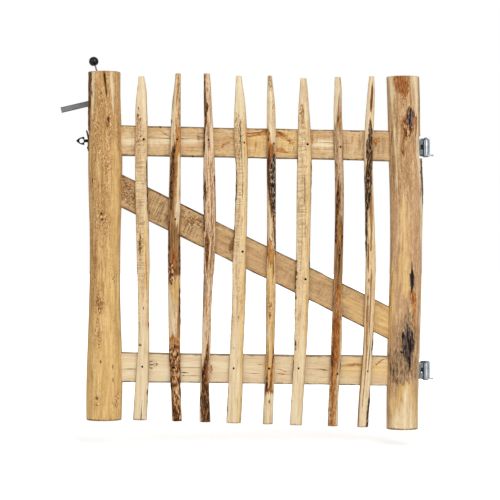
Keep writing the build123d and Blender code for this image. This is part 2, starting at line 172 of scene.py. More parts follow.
MARKS = {
    "latch_stile": (
        ("bark", (0.785, -0.235, 0.0), (0.83, -0.215, 0.05), (0.88, -0.205, 0.06), (0.95, -0.2, 0.065),
         (1.04, -0.2, 0.065)),
        ("cream", (0.86, -0.12, 0.0), (0.91, -0.12, 0.026), (0.97, -0.118, 0.032),
         (1.02, -0.115, 0.036)),
        ("rust", (0.785, -0.215, 0.0), (0.83, -0.19, 0.03), (0.88, -0.18, 0.028), (0.95, -0.175, 0.03),
         (1.04, -0.17, 0.03)),
        ("cream", (0.86, 0.1, 0.0), (0.92, 0.1, 0.018), (0.97, 0.085, 0.026), (1.02, 0.08, 0.02)),
        ("split", (0.925, 0.033, 0.0), (0.945, 0.03, 0.006), (0.97, 0.02, 0.009), (1.0, 0.008, 0.007)),
        ("brown", (0.92, 0.036, 0.0), (0.94, 0.032, 0.014), (0.98, 0.014, 0.016), (1.02, 0.0, 0.016)),
        ("pits", (0.89, -0.03, 0.0), (0.92, -0.02, 0.06), (0.95, -0.04, 0.0)),
        ("pits", (0.79, 0.06, 0.0), (0.84, 0.05, 0.035), (0.87, 0.055, 0.035), (0.9, 0.05, 0.0)),
        spot("knot", 0.861, 0.046, 0.012, 0.016),
        spot("brown", 0.85, 0.035, 0.02, 0.03),
        ("pits", (0.78, -0.06, 0.0), (0.82, -0.07, 0.05), (0.86, -0.085, 0.065), (0.89, -0.1, 0.0)),
        ("pits", (0.69, -0.02, 0.0), (0.715, 0.04, 0.05), (0.745, 0.03, 0.07), (0.765, -0.03, 0.05),
         (0.785, -0.04, 0.0)),
        spot("knot", 0.69, -0.124, 0.012, 0.022),
        ("pits", (0.655, -0.14, 0.0), (0.685, -0.12, 0.05), (0.71, -0.12, 0.0)),
        ("pits", (0.525, 0.06, 0.0), (0.545, 0.0, 0.1), (0.575, -0.04, 0.1), (0.6, -0.03, 0.05),
         (0.615, -0.03, 0.0)),
        spot("knot", 0.591, -0.028, 0.008, 0.014),
        spot("knot", 0.575, -0.02, 0.006, 0.02),
        ("pits", (0.39, 0.11, 0.0), (0.42, 0.12, 0.06), (0.45, 0.1, 0.0)),
        ("pits", (0.3, -0.05, 0.0), (0.318, -0.05, 0.07), (0.338, -0.045, 0.1), (0.36, -0.06, 0.0)),
        ("brown", (0.305, -0.04, 0.0), (0.325, -0.035, 0.05), (0.34, -0.05, 0.06), (0.352, -0.06, 0.0)),
        ("pits", (0.2, -0.03, 0.0), (0.25, -0.05, 0.06), (0.3, -0.06, 0.0)),
        spot("knot", 0.171, -0.025, 0.008, 0.01),
        spot("knot", 0.155, 0.087, 0.01, 0.008),
        spot("brown", 0.118, 0.09, 0.01, 0.008),
        spot("knot", 0.065, -0.052, 0.006, 0.016),
        ("split", (0.059, -0.035, 0.0), (0.062, -0.04, 0.045), (0.064, -0.05, 0.0)),
        ("pits", (0.03, -0.06, 0.0), (0.055, -0.05, 0.06), (0.08, -0.05, 0.0)),
        ("pits", (0.03, 0.11, 0.0), (0.055, 0.14, 0.07), (0.09, 0.16, 0.0)),
        # Golden lower end and right side: partly the wood's tone, partly a painted highlight on the side
        # where light falls
        ("gold", (-0.02, 0.04, 0.5), (0.14, 0.05, 0.4), (0.3, 0.07, 0.2), (0.5, 0.12, 0.1),
         (0.75, 0.12, 0.06), (0.8, 0.1, 0.0)),
        spot("knot", 0.44, 0.42, 0.02, 0.03),
        spot("knot", 0.14, -0.4, 0.02, 0.03),
        ("split", (0.2, 0.46, 0.0), (0.27, 0.47, 0.005), (0.34, 0.47, 0.0)),
        ("rust", (0.44, -0.42, 0.0), (0.53, -0.4, 0.03), (0.62, -0.36, 0.0)),
        ("split", (-0.02, 0.3, 0.006), (0.05, 0.31, 0.0)),
    ),
    "hinge_stile": (
        ("rust", (0.93, -0.02, 0.0), (0.942, -0.02, 0.06), (0.97, -0.028, 0.075),
         (1.04, -0.032, 0.095)),
        ("pits", (0.905, -0.01, 0.0), (0.93, -0.015, 0.04), (0.95, -0.02, 0.05)),
        ("rust", (0.815, 0.01, 0.0), (0.835, 0.02, 0.05), (0.855, 0.03, 0.08), (0.878, 0.035, 0.085),
         (0.892, 0.055, 0.06), (0.905, 0.06, 0.03), (0.914, 0.06, 0.0)),
        ("rind", (0.82, 0.012, 0.0), (0.835, 0.02, 0.04), (0.86, 0.026, 0.058), (0.88, 0.04, 0.05),
         (0.9, 0.055, 0.02), (0.91, 0.06, 0.0)),
        ("bark", (0.845, 0.042, 0.0), (0.86, 0.042, 0.03), (0.876, 0.048, 0.045), (0.89, 0.056, 0.034),
         (0.903, 0.06, 0.02), (0.914, 0.06, 0.0)),
        ("split", (0.858, 0.035, 0.0), (0.872, 0.045, 0.014), (0.884, 0.04, 0.0)),
        ("rust", (0.825, 0.1, 0.0), (0.84, 0.12, 0.014), (0.865, 0.13, 0.012), (0.89, 0.115, 0.016)),
        ("brown", (0.765, -0.03, 0.0), (0.785, -0.032, 0.02), (0.8, -0.03, 0.014),
         (0.835, -0.008, 0.014)),
        spot("split", 0.783, -0.031, 0.012, 0.006),
        ("cream", (0.66, -0.1, 0.0), (0.74, -0.1, 0.014), (0.84, -0.11, 0.012), (0.88, -0.11, 0.0)),
        ("cream", (0.6, 0.14, 0.0), (0.75, 0.14, 0.03), (0.92, 0.13, 0.03), (1.02, 0.12, 0.05)),
        ("cream", (0.9, -0.14, 0.0), (0.94, -0.14, 0.03), (1.02, -0.15, 0.04)),
        ("brown", (0.8, -0.17, 0.0), (0.835, -0.15, 0.012), (0.855, -0.14, 0.0)),
        ("bark", (0.62, 0.2, 0.0), (0.66, 0.215, 0.04), (0.75, 0.22, 0.05), (0.8, 0.22, 0.0)),
        ("split", (0.375, 0.052, 0.0), (0.4, 0.055, 0.012), (0.425, 0.06, 0.016), (0.45, 0.053, 0.012),
         (0.476, 0.05, 0.0)),
        ("bark", (0.38, 0.055, 0.0), (0.41, 0.058, 0.03), (0.435, 0.058, 0.026), (0.455, 0.055, 0.0)),
        ("resin", (0.282, 0.09, 0.0), (0.295, 0.1, 0.012), (0.32, 0.098, 0.014), (0.35, 0.085, 0.022),
         (0.365, 0.075, 0.034), (0.385, 0.06, 0.034), (0.405, 0.05, 0.0)),
        ("stain", (0.3, 0.08, 0.0), (0.315, 0.075, 0.03), (0.34, 0.08, 0.0)),
        ("bark", (0.165, 0.045, 0.0), (0.18, 0.05, 0.018), (0.2, 0.05, 0.035), (0.23, 0.047, 0.06),
         (0.26, 0.034, 0.065), (0.285, 0.026, 0.035), (0.295, 0.02, 0.0)),
        ("bark", (0.245, -0.022, 0.0), (0.265, -0.022, 0.022), (0.285, -0.018, 0.0)),
        ("stain", (0.13, -0.04, 0.1), (0.16, -0.03, 0.24), (0.19, -0.02, 0.24), (0.23, 0.0, 0.18),
         (0.29, 0.02, 0.11), (0.34, 0.02, 0.0)),
        ("split", (0.215, -0.035, 0.0), (0.22, -0.03, 0.022), (0.227, -0.045, 0.0)),
        ("split", (0.145, -0.11, 0.0), (0.165, -0.11, 0.006), (0.185, -0.112, 0.0)),
        ("split", (0.155, -0.07, 0.0), (0.175, -0.072, 0.006), (0.195, -0.07, 0.0)),
        ("split", (0.15, -0.15, 0.0), (0.17, -0.152, 0.007), (0.2, -0.15, 0.0)),
        ("brown", (0.16, -0.03, 0.0), (0.18, -0.03, 0.008), (0.205, -0.032, 0.0)),
        ("brown", (0.16, -0.19, 0.0), (0.2, -0.19, 0.012), (0.23, -0.19, 0.0)),
        ("brown", (0.17, 0.12, 0.0), (0.19, 0.12, 0.01), (0.22, 0.125, 0.0)),
        ("split", (0.235, 0.03, 0.0), (0.255, 0.03, 0.014), (0.29, 0.02, 0.0)),
        ("split", (0.175, 0.05, 0.0), (0.195, 0.05, 0.014), (0.215, 0.052, 0.0)),
        ("split", (0.215, 0.062, 0.0), (0.235, 0.062, 0.012), (0.265, 0.06, 0.0)),
        ("split", (0.255, -0.02, 0.0), (0.27, -0.02, 0.014), (0.285, -0.018, 0.0)),
        ("rust", (0.355, 0.078, 0.0), (0.37, 0.072, 0.014), (0.39, 0.06, 0.012), (0.4, 0.055, 0.0)),
        ("gold", (0.18, -0.21, 0.0), (0.28, -0.2, 0.06), (0.36, -0.17, 0.08), (0.43, -0.16, 0.06),
         (0.48, -0.17, 0.0)),
        ("resin", (0.2, -0.22, 0.0), (0.26, -0.215, 0.018), (0.33, -0.21, 0.012), (0.42, -0.17, 0.012),
         (0.46, -0.16, 0.0)),
        ("gold", (0.37, 0.0, 0.0), (0.4, 0.0, 0.06), (0.46, -0.02, 0.05), (0.62, -0.04, 0.05),
         (0.66, -0.04, 0.0)),
        spot("cream", 0.298, -0.215, 0.012, 0.03),
        ("cream", (-0.02, 0.0, 0.2), (0.05, 0.02, 0.1), (0.1, 0.03, 0.04), (0.13, 0.04, 0.0)),
        ("gold", (-0.02, 0.0, 0.3), (0.06, 0.02, 0.24), (0.12, 0.03, 0.1), (0.15, 0.04, 0.0)),
        # Cream ribbons along the right edge: partly bleached wood, partly a painted highlight on the side
        # where light falls
        ("cream", (0.46, 0.2, 0.0), (0.55, 0.2, 0.034), (0.64, 0.19, 0.04), (0.7, 0.18, 0.0)),
        ("cream", (-0.02, 0.21, 0.03), (0.14, 0.21, 0.03), (0.34, 0.21, 0.03), (0.46, 0.21, 0.0)),
        spot("knot", 0.52, 0.45, 0.02, 0.03),
        spot("knot", 0.715, -0.38, 0.015, 0.026),
        ("split", (0.08, -0.46, 0.0), (0.14, -0.46, 0.006), (0.2, -0.46, 0.0)),
        ("bark", (0.55, -0.42, 0.0), (0.62, -0.43, 0.03), (0.68, -0.44, 0.0)),
    ),
    "pale_1": (
        ("hatch", (0.38, -0.3, 0.0), (0.42, -0.3, 0.7), (0.6, -0.2, 0.8), (0.8, -0.2, 0.9),
         (0.9, -0.3, 0.6), (0.92, -0.3, 0.0)),
        ("pits", (0.84, -0.2, 0.0), (0.86, -0.3, 0.8), (0.88, -0.4, 0.6), (0.92, -0.45, 0.0)),
        spot("knot", 0.907, -0.45, 0.006, 0.2),
        spot("knot", 0.886, -0.55, 0.008, 0.3),
        spot("bark", 0.875, -0.1, 0.006, 0.3),
        ("pits", (0.76, -0.5, 0.0), (0.8, -0.45, 0.6), (0.85, -0.3, 0.7)),
        ("bark", (0.58, 0.88, 0.0), (0.62, 0.9, 0.1), (0.74, 0.88, 0.1), (0.77, 0.88, 0.0)),
        ("bark", (0.48, -0.35, 0.0), (0.5, -0.5, 0.24), (0.52, -0.42, 0.24), (0.545, -0.3, 0.0)),
        ("pits", (0.44, -0.4, 0.0), (0.5, -0.4, 0.6), (0.56, -0.4, 0.0)),
        # Gold on the right facet: partly the wood's tone, partly a painted highlight on the side where light
        # falls
        ("gold", (0.34, 0.6, 0.0), (0.4, 0.5, 0.3), (0.5, 0.4, 0.45), (0.56, 0.6, 0.3),
         (0.64, 0.8, 0.0)),
        ("resin", (0.36, 0.55, 0.0), (0.42, 0.5, 0.1), (0.48, 0.45, 0.12), (0.52, 0.5, 0.0)),
        spot("knot", 0.326, 0.02, 0.006, 0.14),
        spot("knot", 0.283, -0.82, 0.006, 0.16),
        spot("rust", 0.277, 0.82, 0.012, 0.2),
        spot("knot", 0.219, -0.6, 0.005, 0.4),
        spot("knot", 0.082, 0.82, 0.012, 0.16),
        ("split", (-0.02, 0.2, 0.08), (0.03, 0.18, 0.05), (0.07, 0.16, 0.0)),
        ("cream", (0.84, 0.2, 0.0), (0.9, 0.0, 1.2), (1.02, 0.0, 1.8)),
        ("cream", (-0.02, 0.0, 1.8), (0.2, 0.0, 1.3), (0.36, -0.2, 0.0)),
    ),
    "pale_2": (
        ("resin", (0.89, 0.05, 0.0), (0.92, 0.08, 0.16), (0.95, 0.0, 0.1), (0.96, 0.0, 0.0)),
        ("brown", (0.855, 0.6, 0.0), (0.88, 0.62, 0.14), (0.92, 0.5, 0.0)),
        spot("bark", 0.862, -0.85, 0.008, 0.2),
        ("cream", (0.77, -0.6, 0.2), (0.83, -0.6, 0.4), (0.87, -0.5, 0.5), (0.98, -0.5, 0.4),
         (1.0, -0.5, 0.0)),
        ("resin", (0.765, 0.5, 0.5), (0.8, 0.5, 0.55), (0.835, 0.45, 0.5), (0.85, 0.2, 0.24),
         (0.858, 0.12, 0.0)),
        ("split", (0.84, 0.4, 0.0), (0.85, 0.2, 0.07), (0.856, 0.1, 0.0)),
        ("bark", (0.6, -0.6, 0.3), (0.65, -0.55, 0.42), (0.72, -0.5, 0.46), (0.765, -0.42, 0.42),
         (0.79, -0.2, 0.3), (0.812, -0.02, 0.0)),
        ("brown", (0.55, -0.45, 0.65), (0.65, -0.3, 0.4), (0.76, 0.0, 0.4), (0.8, 0.15, 0.2),
         (0.82, 0.2, 0.0)),
        ("brown", (0.52, 0.8, 0.3), (0.56, 0.9, 0.2), (0.6, 0.9, 0.0)),
        ("resin", (0.6, 0.2, 0.0), (0.66, 0.2, 0.14), (0.74, 0.3, 0.2), (0.77, 0.4, 0.0)),
        ("cream", (0.56, 0.5, 0.0), (0.58, 0.5, 0.5), (0.64, 0.5, 0.6), (0.7, 0.55, 0.5),
         (0.75, 0.6, 0.3), (0.77, 0.6, 0.0)),
        ("brown", (0.42, 0.0, 0.9), (0.48, 0.0, 1.2), (0.53, 0.0, 1.2), (0.58, -0.4, 0.6)),
        ("bark", (0.44, -0.8, 0.1), (0.48, -0.85, 0.2), (0.52, -0.85, 0.16), (0.57, -0.8, 0.1)),
        ("bark", (0.42, 0.85, 0.1), (0.47, 0.8, 0.16), (0.53, 0.75, 0.14), (0.55, 0.7, 0.0)),
        ("rust", (0.43, 0.15, 0.0), (0.47, 0.1, 0.4), (0.51, 0.0, 0.0)),
        ("rind", (0.385, -0.4, 0.0), (0.41, -0.5, 0.7), (0.44, -0.45, 0.8), (0.46, -0.5, 0.0)),
        spot("knot", 0.418, -0.6, 0.012, 0.34),
        ("gold", (0.34, 0.0, 0.5), (0.38, 0.1, 0.9), (0.41, 0.5, 0.5), (0.43, 0.5, 0.0)),
        ("cream", (0.235, -0.7, 0.0), (0.26, -0.45, 0.85), (0.31, -0.45, 0.8), (0.35, -0.75, 0.5),
         (0.385, -1.0, 0.0)),
        ("brown", (0.24, 0.72, 0.3), (0.3, 0.7, 0.26), (0.36, 0.8, 0.2), (0.4, 0.9, 0.0)),
        ("bark", (0.25, 0.9, 0.0), (0.3, 0.95, 0.16), (0.37, 0.92, 0.2), (0.39, 0.9, 0.0)),
        ("resin", (0.19, 0.0, 1.0), (0.215, 0.0, 1.2), (0.238, 0.0, 0.7), (0.25, 0.2, 0.0)),
        ("rind", (-0.03, 0.0, 2.4), (0.1, 0.0, 2.0), (0.19, 0.0, 1.6), (0.225, 0.2, 0.5),
         (0.235, 0.3, 0.0)),
        ("bark", (-0.03, 0.0, 0.9), (0.02, -0.1, 0.7), (0.04, -0.6, 0.3), (0.09, -0.85, 0.0)),
        ("bark", (0.145, -0.3, 0.0), (0.155, -0.4, 0.5), (0.17, -0.2, 0.2), (0.18, 0.0, 0.0)),
        ("bark", (0.05, 0.92, 0.12), (0.12, 0.92, 0.14), (0.18, 0.95, 0.12), (0.2, 0.95, 0.0)),
        ("bark", (0.08, -0.9, 0.12), (0.12, -0.85, 0.16), (0.15, -0.7, 0.0)),
    ),
    "pale_3": (
        ("bark", (0.87, -0.7, 0.14), (0.92, -0.76, 0.22), (0.96, -0.78, 0.24), (1.03, -0.82, 0.26)),
        ("brown", (0.86, -0.5, 0.3), (0.9, -0.45, 0.4), (0.93, -0.55, 0.3), (0.96, -0.6, 0.0)),
        spot("bark", 0.904, -0.05, 0.016, 0.32),
        ("bark", (0.83, -0.6, 0.0), (0.862, -0.5, 0.14), (0.89, -0.42, 0.16), (0.908, -0.15, 0.0)),
        ("bark", (0.76, -0.9, 0.16), (0.8, -0.92, 0.2), (0.84, -0.85, 0.18), (0.87, -0.6, 0.0)),
        ("cream", (0.77, 0.55, 0.0), (0.8, 0.6, 0.26), (0.84, 0.6, 0.24), (0.88, 0.5, 0.0)),
        ("gold", (0.76, 0.95, 0.2), (0.84, 0.95, 0.2)),
        ("brown", (0.72, 0.3, 0.0), (0.737, 0.33, 0.14), (0.755, 0.3, 0.0)),
        ("bark", (0.615, -0.6, 0.0), (0.645, -0.62, 0.2), (0.67, -0.66, 0.16), (0.7, -0.7, 0.0)),
        ("bark", (0.54, -0.85, 0.2), (0.58, -0.95, 0.16), (0.7, -0.95, 0.14), (0.74, -0.95, 0.0)),
        ("brown", (0.59, 0.3, 0.0), (0.63, 0.33, 0.16), (0.66, 0.36, 0.14), (0.69, 0.4, 0.0)),
        ("brown", (0.56, 0.85, 0.1), (0.66, 0.9, 0.16), (0.72, 0.85, 0.0)),
        spot("bark", 0.695, 0.85, 0.02, 0.16),
        ("brown", (0.56, 0.2, 0.0), (0.59, 0.3, 0.18), (0.61, 0.3, 0.0)),
        ("rust", (0.425, -0.3, 0.0), (0.45, -0.35, 0.26), (0.48, -0.42, 0.34), (0.52, -0.4, 0.4),
         (0.55, -0.5, 0.0)),
        ("bark", (0.44, -0.3, 0.0), (0.47, -0.4, 0.2), (0.51, -0.45, 0.36), (0.54, -0.5, 0.0)),
        ("brown", (0.4, 0.1, 0.0), (0.45, 0.3, 0.2), (0.52, 0.5, 0.2), (0.55, 0.6, 0.0)),
        ("stain", (0.28, -0.8, 0.0), (0.34, -0.7, 0.3), (0.4, -0.6, 0.4), (0.43, -0.4, 0.0)),
        ("resin", (0.27, 0.0, 0.0), (0.34, -0.1, 0.18), (0.38, 0.0, 0.0)),
        ("rust", (0.1, 0.1, 0.9), (0.14, 0.1, 0.95), (0.17, 0.15, 0.65), (0.2, 0.25, 0.4),
         (0.24, 0.4, 0.14), (0.262, 0.36, 0.0)),
        ("bark", (0.1, 0.2, 0.8), (0.13, -0.15, 0.7), (0.16, -0.1, 0.5), (0.185, 0.3, 0.3),
         (0.23, 0.42, 0.1), (0.25, 0.38, 0.0)),
        ("bark", (-0.03, 0.0, 0.9), (0.04, 0.0, 0.95), (0.09, 0.1, 0.8), (0.11, 0.3, 0.5)),
        ("cream", (-0.02, -0.95, 0.2), (0.05, -0.95, 0.2), (0.1, -0.75, 0.4), (0.13, -0.9, 0.2),
         (0.16, -0.9, 0.0)),
        ("cream", (0.16, -0.5, 0.0), (0.2, -0.5, 0.5), (0.28, -0.4, 0.4), (0.3, 0.0, 0.0)),
    ),
    "pale_4": (
        ("hatch", (0.46, -0.5, 0.0), (0.52, -0.5, 0.5), (0.7, -0.4, 0.6), (0.85, -0.3, 0.8),
         (0.89, -0.3, 0.0)),
        ("split", (0.66, 0.1, 0.0), (0.7, 0.06, 0.03), (0.78, 0.0, 0.04), (0.85, -0.04, 0.05),
         (0.885, -0.05, 0.0)),
        ("pits", (0.74, -0.4, 0.0), (0.8, -0.4, 0.6), (0.86, -0.2, 0.9), (0.9, -0.5, 0.0)),
        ("rust", (0.64, 0.16, 0.0), (0.67, 0.14, 0.13), (0.71, 0.08, 0.0)),
        ("bark", (0.58, -0.95, 0.0), (0.66, -0.95, 0.16), (0.74, -0.95, 0.14), (0.78, -0.95, 0.0)),
        spot("bark", 0.68, -0.92, 0.012, 0.22),
        ("bark", (0.5, -1.0, 0.1), (0.54, -0.98, 0.16), (0.58, -1.0, 0.0)),
        spot("resin", 0.585, 0.25, 0.014, 0.1),
        # Gold on the right facet: partly the wood's tone, partly a painted highlight on the side where light
        # falls
        ("gold", (-0.02, 0.6, 0.3), (0.3, 0.6, 0.36), (0.6, 0.66, 0.3), (0.85, 0.7, 0.2),
         (0.9, 0.7, 0.0)),
        ("resin", (0.76, 0.9, 0.0), (0.8, 0.92, 0.12), (0.84, 0.95, 0.12), (0.86, 0.95, 0.0)),
        spot("knot", 0.216, -0.4, 0.005, 0.16),
        spot("knot", 0.305, 0.05, 0.005, 0.1),
        ("cream", (0.82, 0.0, 0.0), (0.88, 0.0, 1.0), (1.02, 0.0, 1.8)),
        ("bark", (-0.02, -1.0, 0.1), (0.13, -1.0, 0.0)),
        ("cream", (-0.02, -0.2, 1.0), (0.2, -0.3, 0.6), (0.4, -0.4, 0.0)),
    ),
    "pale_5": (
        ("cream", (0.8, 0.3, 0.0), (0.82, 0.3, 0.5), (0.86, 0.1, 0.9), (0.93, 0.0, 1.4),
         (1.02, 0.0, 1.9)),
        ("stain", (0.965, -0.3, 0.0), (0.98, -0.3, 0.4), (1.02, 0.0, 0.6)),
        ("pits", (0.95, 0.2, 0.0), (0.97, 0.0, 1.0), (1.02, 0.0, 1.0)),
        ("pits", (0.89, 0.5, 0.0), (0.915, 0.5, 0.4), (0.94, 0.5, 0.0)),
        ("resin", (0.79, -0.7, 0.5), (0.815, -0.75, 0.5), (0.84, -0.8, 0.36), (0.855, -0.8, 0.0)),
        spot("knot", 0.834, -0.5, 0.007, 0.16),
        spot("knot", 0.816, -0.7, 0.008, 0.2),
        spot("knot", 0.842, -0.9, 0.007, 0.2),
        ("rust", (0.735, -0.1, 0.6), (0.765, 0.0, 0.8), (0.79, -0.05, 0.7), (0.804, 0.0, 0.0)),
        ("bark", (0.72, -0.55, 0.0), (0.745, -0.52, 0.12), (0.78, -0.6, 0.08), (0.8, -0.62, 0.0)),
        ("resin", (0.755, 0.1, 0.5), (0.775, 0.1, 0.5), (0.795, 0.0, 0.3), (0.802, 0.0, 0.0)),
        ("bark", (0.6, 0.55, 0.26), (0.64, 0.4, 0.5), (0.68, 0.32, 0.64), (0.72, 0.3, 0.66),
         (0.75, 0.36, 0.62), (0.772, 0.6, 0.3), (0.785, 0.7, 0.0)),
        ("rust", (0.6, 0.15, 0.1), (0.64, -0.2, 0.34), (0.69, -0.52, 0.5), (0.73, -0.55, 0.6),
         (0.77, -0.35, 0.5)),
        ("bark", (0.6, 0.2, 0.1), (0.64, -0.05, 0.14), (0.69, -0.36, 0.2), (0.73, -0.44, 0.2),
         (0.76, -0.45, 0.0)),
        ("knot", (0.62, 0.0, 0.1), (0.66, -0.35, 0.3), (0.7, -0.56, 0.36), (0.74, -0.6, 0.36),
         (0.775, -0.5, 0.2), (0.79, -0.4, 0.0)),
        ("brown", (0.57, 0.2, 0.0), (0.64, -0.15, 0.3), (0.69, -0.35, 0.4), (0.74, -0.4, 0.5),
         (0.77, -0.35, 0.3)),
        ("rust", (0.56, 0.45, 0.3), (0.585, 0.5, 0.3), (0.61, 0.4, 0.0)),
        ("bark", (0.565, 0.55, 0.0), (0.58, 0.52, 0.2), (0.6, 0.5, 0.2)),
        ("cream", (0.5, -0.1, 0.5), (0.53, -0.1, 0.7), (0.56, -0.2, 0.7), (0.6, -0.4, 0.4),
         (0.64, -0.7, 0.0)),
        ("resin", (0.52, 0.3, 0.0), (0.535, 0.2, 0.26), (0.545, 0.1, 0.26), (0.556, 0.2, 0.0)),
        ("resin", (0.51, -0.3, 0.3), (0.525, -0.2, 0.3), (0.535, -0.2, 0.0)),
        ("bark", (0.49, 0.9, 0.1), (0.53, 0.8, 0.26), (0.57, 0.7, 0.24)),
        ("brown", (0.48, -0.9, 0.3), (0.52, -0.9, 0.2), (0.56, -0.9, 0.0)),
        ("resin", (0.45, -0.2, 0.5), (0.48, 0.0, 0.9), (0.52, -0.4, 0.5), (0.53, -0.5, 0.0)),
        ("gold", (0.36, 0.0, 0.6), (0.42, 0.0, 1.0), (0.5, 0.0, 1.0), (0.53, 0.0, 0.6)),
        ("brown", (0.41, 0.5, 0.0), (0.44, 0.5, 0.2), (0.47, 0.4, 0.2), (0.49, 0.3, 0.0)),
        ("pits", (0.3, -0.1, 0.0), (0.32, -0.1, 0.7), (0.345, 0.0, 0.5), (0.36, 0.0, 0.0)),
        spot("brown", 0.338, -0.1, 0.012, 0.4),
        spot("brown", 0.31, -0.2, 0.012, 0.3),
        ("rust", (0.09, 0.2, 0.3), (0.13, 0.35, 0.18), (0.17, 0.6, 0.16), (0.21, 0.8, 0.14),
         (0.225, 0.85, 0.0)),
        ("bark", (0.16, 0.66, 0.0), (0.185, 0.72, 0.12), (0.21, 0.82, 0.0)),
        ("rust", (0.085, -0.2, 0.8), (0.097, -0.1, 0.95), (0.105, -0.5, 0.4), (0.13, -0.6, 0.2),
         (0.16, -0.6, 0.0)),
        ("bark", (0.09, -0.3, 0.0), (0.1, -0.4, 0.34), (0.12, -0.55, 0.16), (0.145, -0.6, 0.0)),
        ("gold", (0.09, 0.0, 0.4), (0.13, 0.0, 1.1), (0.2, 0.0, 1.1), (0.3, 0.0, 0.7),
         (0.36, 0.0, 0.6)),
        ("resin", (0.09, -0.55, 0.2), (0.13, -0.5, 0.26), (0.2, -0.5, 0.16), (0.24, -0.5, 0.0)),
        ("resin", (0.09, 0.4, 0.2), (0.14, 0.45, 0.26), (0.2, 0.6, 0.2), (0.25, 0.7, 0.0)),
        spot("knot", 0.064, 0.12, 0.008, 0.24),
        ("cream", (-0.03, 0.0, 2.0), (0.06, 0.0, 1.8), (0.088, 0.0, 1.0)),
        ("cream", (0.2, -0.2, 0.0), (0.26, -0.3, 0.5), (0.29, -0.2, 0.0)),
    ),
    "pale_6": (
        ("hatch", (0.4, -0.4, 0.0), (0.5, -0.4, 0.6), (0.7, -0.3, 0.8), (0.85, -0.2, 0.9),
         (0.9, -0.2, 0.0)),
        ("hatch", (0.94, 0.0, 0.0), (0.96, 0.0, 0.8), (1.02, 0.0, 1.0)),
        ("brown", (0.6, 0.06, 0.0), (0.64, 0.05, 0.06), (0.7, 0.04, 0.07), (0.73, 0.04, 0.0)),
        spot("rust", 0.895, -0.2, 0.03, 0.3),
        ("pits", (0.855, -0.5, 0.0), (0.87, -0.4, 0.8), (0.915, -0.5, 0.5), (0.92, -0.5, 0.0)),
        ("bark", (0.64, 0.95, 0.0), (0.7, 0.95, 0.1), (0.76, 0.95, 0.1), (0.78, 0.95, 0.0)),
        ("bark", (0.45, 0.98, 0.1), (0.48, 0.96, 0.12), (0.5, 0.96, 0.0)),
        spot("knot", 0.77, -0.98, 0.014, 0.16),
        spot("knot", 0.472, -0.95, 0.008, 0.22),
        spot("knot", 0.437, -0.9, 0.01, 0.26),
        spot("knot", 0.42, -0.92, 0.006, 0.26),
        spot("knot", 0.398, -0.96, 0.008, 0.2),
        spot("knot", 0.366, -0.86, 0.008, 0.2),
        spot("knot", 0.235, -0.76, 0.012, 0.24),
        spot("knot", 0.22, -0.7, 0.008, 0.18),
        spot("knot", 0.36, 0.98, 0.012, 0.14),
        spot("knot", 0.07, -0.98, 0.006, 0.2),
        ("bark", (0.13, -1.0, 0.0), (0.17, -0.98, 0.14), (0.2, -1.0, 0.0)),
        ("bark", (0.25, -1.0, 0.08), (0.36, -1.0, 0.1), (0.46, -1.0, 0.1)),
        # Gold on the right facet: partly the wood's tone, partly a painted highlight on the side where light
        # falls
        ("gold", (-0.02, 0.6, 0.2), (0.3, 0.62, 0.3), (0.6, 0.7, 0.26), (0.8, 0.7, 0.24),
         (0.86, 0.7, 0.0)),
        ("cream", (-0.02, -0.1, 1.4), (0.15, 0.0, 1.0), (0.34, 0.0, 0.0)),
        ("cream", (0.86, 0.0, 0.0), (0.91, 0.0, 1.2), (1.02, 0.0, 1.8)),
    ),
    "pale_7": (
        ("cream", (0.86, -0.6, 0.3), (0.9, -0.5, 0.7), (0.95, -0.3, 1.2), (1.02, -0.3, 1.6)),
        ("gold", (0.95, 0.45, 0.0), (0.97, 0.45, 0.3), (1.02, 0.45, 0.3)),
        ("resin", (0.852, 0.1, 0.5), (0.875, 0.05, 0.26), (0.9, 0.15, 0.1), (0.93, 0.26, 0.0)),
        ("brown", (0.85, 0.0, 0.5), (0.872, 0.05, 0.36), (0.895, 0.1, 0.26), (0.94, 0.25, 0.1),
         (0.95, 0.25, 0.0)),
        ("bark", (0.862, -0.1, 0.0), (0.875, -0.05, 0.2), (0.89, 0.0, 0.12), (0.9, 0.05, 0.0)),
        spot("knot", 0.873, -0.03, 0.008, 0.2),
        ("brown", (0.73, -0.8, 0.0), (0.745, -0.75, 0.16), (0.76, -0.75, 0.0)),
        ("bark", (0.6, -0.5, 0.16), (0.63, -0.45, 0.36), (0.66, -0.3, 0.46), (0.685, -0.25, 0.28),
         (0.712, -0.26, 0.0)),
        ("brown", (0.6, -0.55, 0.4), (0.64, -0.35, 0.5), (0.67, -0.2, 0.5), (0.69, -0.25, 0.2),
         (0.72, -0.25, 0.0)),
        ("brown", (0.42, 0.0, 1.2), (0.5, 0.0, 1.4), (0.58, -0.1, 1.2), (0.61, -0.4, 0.5)),
        ("bark", (0.5, 0.6, 0.1), (0.54, 0.6, 0.24), (0.58, 0.7, 0.0)),
        ("bark", (0.52, -0.7, 0.24), (0.56, -0.65, 0.3), (0.6, -0.6, 0.1)),
        ("resin", (0.5, 0.2, 0.3), (0.55, 0.2, 0.34), (0.58, 0.3, 0.0)),
        ("bark", (0.41, 0.1, 0.0), (0.45, 0.1, 0.2), (0.49, 0.15, 0.24), (0.53, 0.2, 0.0)),
        ("brown", (0.16, -0.4, 0.3), (0.22, -0.3, 0.6), (0.3, -0.2, 0.7), (0.42, 0.0, 1.0)),
        ("resin", (0.2, 0.45, 0.2), (0.25, 0.4, 0.3), (0.34, 0.1, 0.8), (0.4, 0.0, 0.8)),
        ("pits", (0.31, -0.2, 0.6), (0.335, -0.2, 0.9), (0.36, -0.1, 0.0)),
        ("rust", (0.16, -0.5, 0.2), (0.2, -0.5, 0.4), (0.26, -0.45, 0.5), (0.3, -0.45, 0.4),
         (0.34, -0.4, 0.0)),
